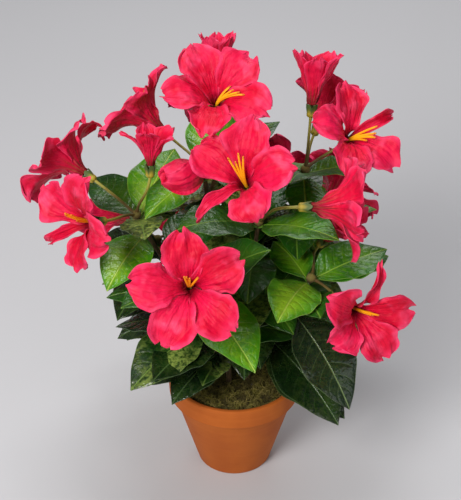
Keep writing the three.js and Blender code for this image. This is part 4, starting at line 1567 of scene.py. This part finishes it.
# %% Olive and straw-coloured fibres
FIBRES_PER_METRE_SQUARE = 240000.0
fibre_pieces = []
for name, fixed_seed, dark, light in (
    ("fibres_olive", SEEDS["olive_fibres"], rgb(70, 66, 20), rgb(134, 126, 46)),
    ("fibres_straw", SEEDS["straw_fibres"], rgb(104, 92, 40), rgb(176, 160, 86)),
):
    bed = new_object(name, moss_piece.data.copy())
    made = scatter.bake(
        bed, name, Density=FIBRES_PER_METRE_SQUARE, Seed=fixed_seed, Length=6 * MM,
        Thickness=0.22 * MM, Finish=moss_finish(name, dark, light),
    )
    fibre_pieces.append(made)
    print(name, ":", triangles(made), "triangles")

# %% [markdown]
# ## Hand every piece to the frame
# Each piece rides on the one body, and the solids that it stands for are hidden. The pieces
# could be joined into one, but apart they can be found by name and given another finish.

# %% Ride and replace
ALL_BLOOMS = [f"bloom_{bloom['name']}" for bloom in blooms]
OPEN_BLOOMS = [f"bloom_{bloom['name']}" for bloom in open_blooms]
ALL_MASSES = [f"leaves_{stem['name']}" for stem in stems]


def hand_over(piece, nodes):
    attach(piece, "root")
    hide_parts(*nodes)


hand_over(pot_piece, ["pot"])
for piece in (moss_piece, *fibre_pieces):
    hand_over(piece, ["moss_plug"])
hand_over(stem_piece, [f"stem_{stem['name']}" for stem in stems])
hand_over(twig_piece, ALL_MASSES)
for tone, piece in leaf_pieces.items():
    hand_over(piece, sorted(f"leaves_{name}" for name in leaf_stems[tone]))
for group, piece in petal_pieces.items():
    hand_over(piece, [f"bloom_{name}" for name in petal_blooms[group]])
hand_over(bud_piece, ["bloom_bud"])
hand_over(stalk_piece, ALL_BLOOMS)
hand_over(collar_piece, ALL_BLOOMS)
hand_over(thread_piece, OPEN_BLOOMS)
hand_over(anther_piece, OPEN_BLOOMS)

# %% [markdown]
# ## Floor
# The bush stands on a plain pale floor, as in a photo studio. A backdrop that curves upward would
# do as well. A flat floor is enough, because the camera looks down and sees nothing else. It is
# marked as stage, so it stays out of the part.

# %% Floor
FLOOR_REACH = 4.0
near, far = -FLOOR_REACH, FLOOR_REACH
floor_mesh = bpy.data.meshes.new("floor")
floor_corners = [(near, near, 0), (far, near, 0), (far, far, 0), (near, far, 0)]
floor_mesh.from_pydata(floor_corners, [], [(0, 1, 2, 3)])
floor = new_object("floor", floor_mesh)
floor_finish = Finish("floor")
shade = floor_finish.noise(2.0, 2, 0.5)
floor_colour = floor_finish.mix(shade * 0.3, (0.52, 0.52, 0.54, 1.0), (0.6, 0.6, 0.62, 1.0))
floor_mesh.materials.append(floor_finish.surface(Base_Color=floor_colour, Roughness=0.8))
floor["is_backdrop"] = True
print("floor:", 2 * FLOOR_REACH, "m wide")

# %% [markdown]
# ## Light
# Soft boxes light the bush: the strongest from the upper left and the front, a weak one from the
# right, one from behind and a small one overhead for the gloss on the leaves. A picture of a
# studio round the scene would also do, but single lights can be moved one at a time.

# %% Lights
# Place, size in metres, power in watts and colour.
LIGHTS = {
    "key": ((-0.8, -1.4, 1.4), 0.8, 39, (1.0, 0.98, 0.96)),
    "fill": ((1.4, -1.4, 0.8), 1.4, 7, (0.98, 0.98, 1.0)),
    "back": ((0.2, 1.5, 1.6), 1.2, 14, (1.0, 1.0, 1.0)),
    "top": ((-0.1, 0.2, 1.7), 0.5, 8, (1.0, 1.0, 1.0)),
}
MIDDLE = (0.0, 0.0, 0.22)
WORLD = {"Color": (0.86, 0.85, 0.86, 1.0), "Strength": 0.19}


def point_at(made, place, target):
    """Stand a light or a camera at a place, and turn it to a target."""
    made.location = place
    made.rotation_euler = (Vector(target) - Vector(place)).to_track_quat("-Z", "Y").to_euler()


for name, (place, size, power, colour) in LIGHTS.items():
    lamp = bpy.data.lights.new(name, "AREA")
    lamp.shape, lamp.size, lamp.energy, lamp.color = "SQUARE", size, power, colour
    point_at(new_object(name, lamp), place, MIDDLE)
world = bpy.data.worlds.new("studio")
world.use_nodes = True
for name, value in WORLD.items():
    plug(world.node_tree.nodes["Background"].inputs[name], value)
bpy.context.scene.world = world
bpy.context.scene.view_settings.view_transform = "Standard"
print("lights:", ", ".join(LIGHTS))

# %% [markdown]
# ## Camera
# The camera stands 1.2 m away and looks down at 33.5 degrees. Both could be guessed by eye, but
# the ellipse of the pot's rim and the width of its base leave only one such place.

# %% Camera
CAMERA = {"distance": 1.2, "above_level": math.radians(33.5), "lens": 100.8, "sensor": 36.0}
aim = Vector((-0.0035, 0.0, 0.2265))
above = CAMERA["above_level"]
stand = aim + CAMERA["distance"] * Vector((0, -math.cos(above), math.sin(above)))
camera_data = bpy.data.cameras.new("camera")
camera_data.lens, camera_data.sensor_width = CAMERA["lens"], CAMERA["sensor"]
camera = new_object("camera", camera_data)
point_at(camera, stand, aim)
bpy.context.scene.camera = camera
print("camera at", tuple(round(number, 3) for number in stand))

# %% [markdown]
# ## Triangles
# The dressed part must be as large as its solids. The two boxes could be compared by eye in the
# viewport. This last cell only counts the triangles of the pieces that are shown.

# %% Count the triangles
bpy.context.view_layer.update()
total = sum(triangles(piece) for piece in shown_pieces() if piece.type == "MESH")
print("triangles in all:", total)
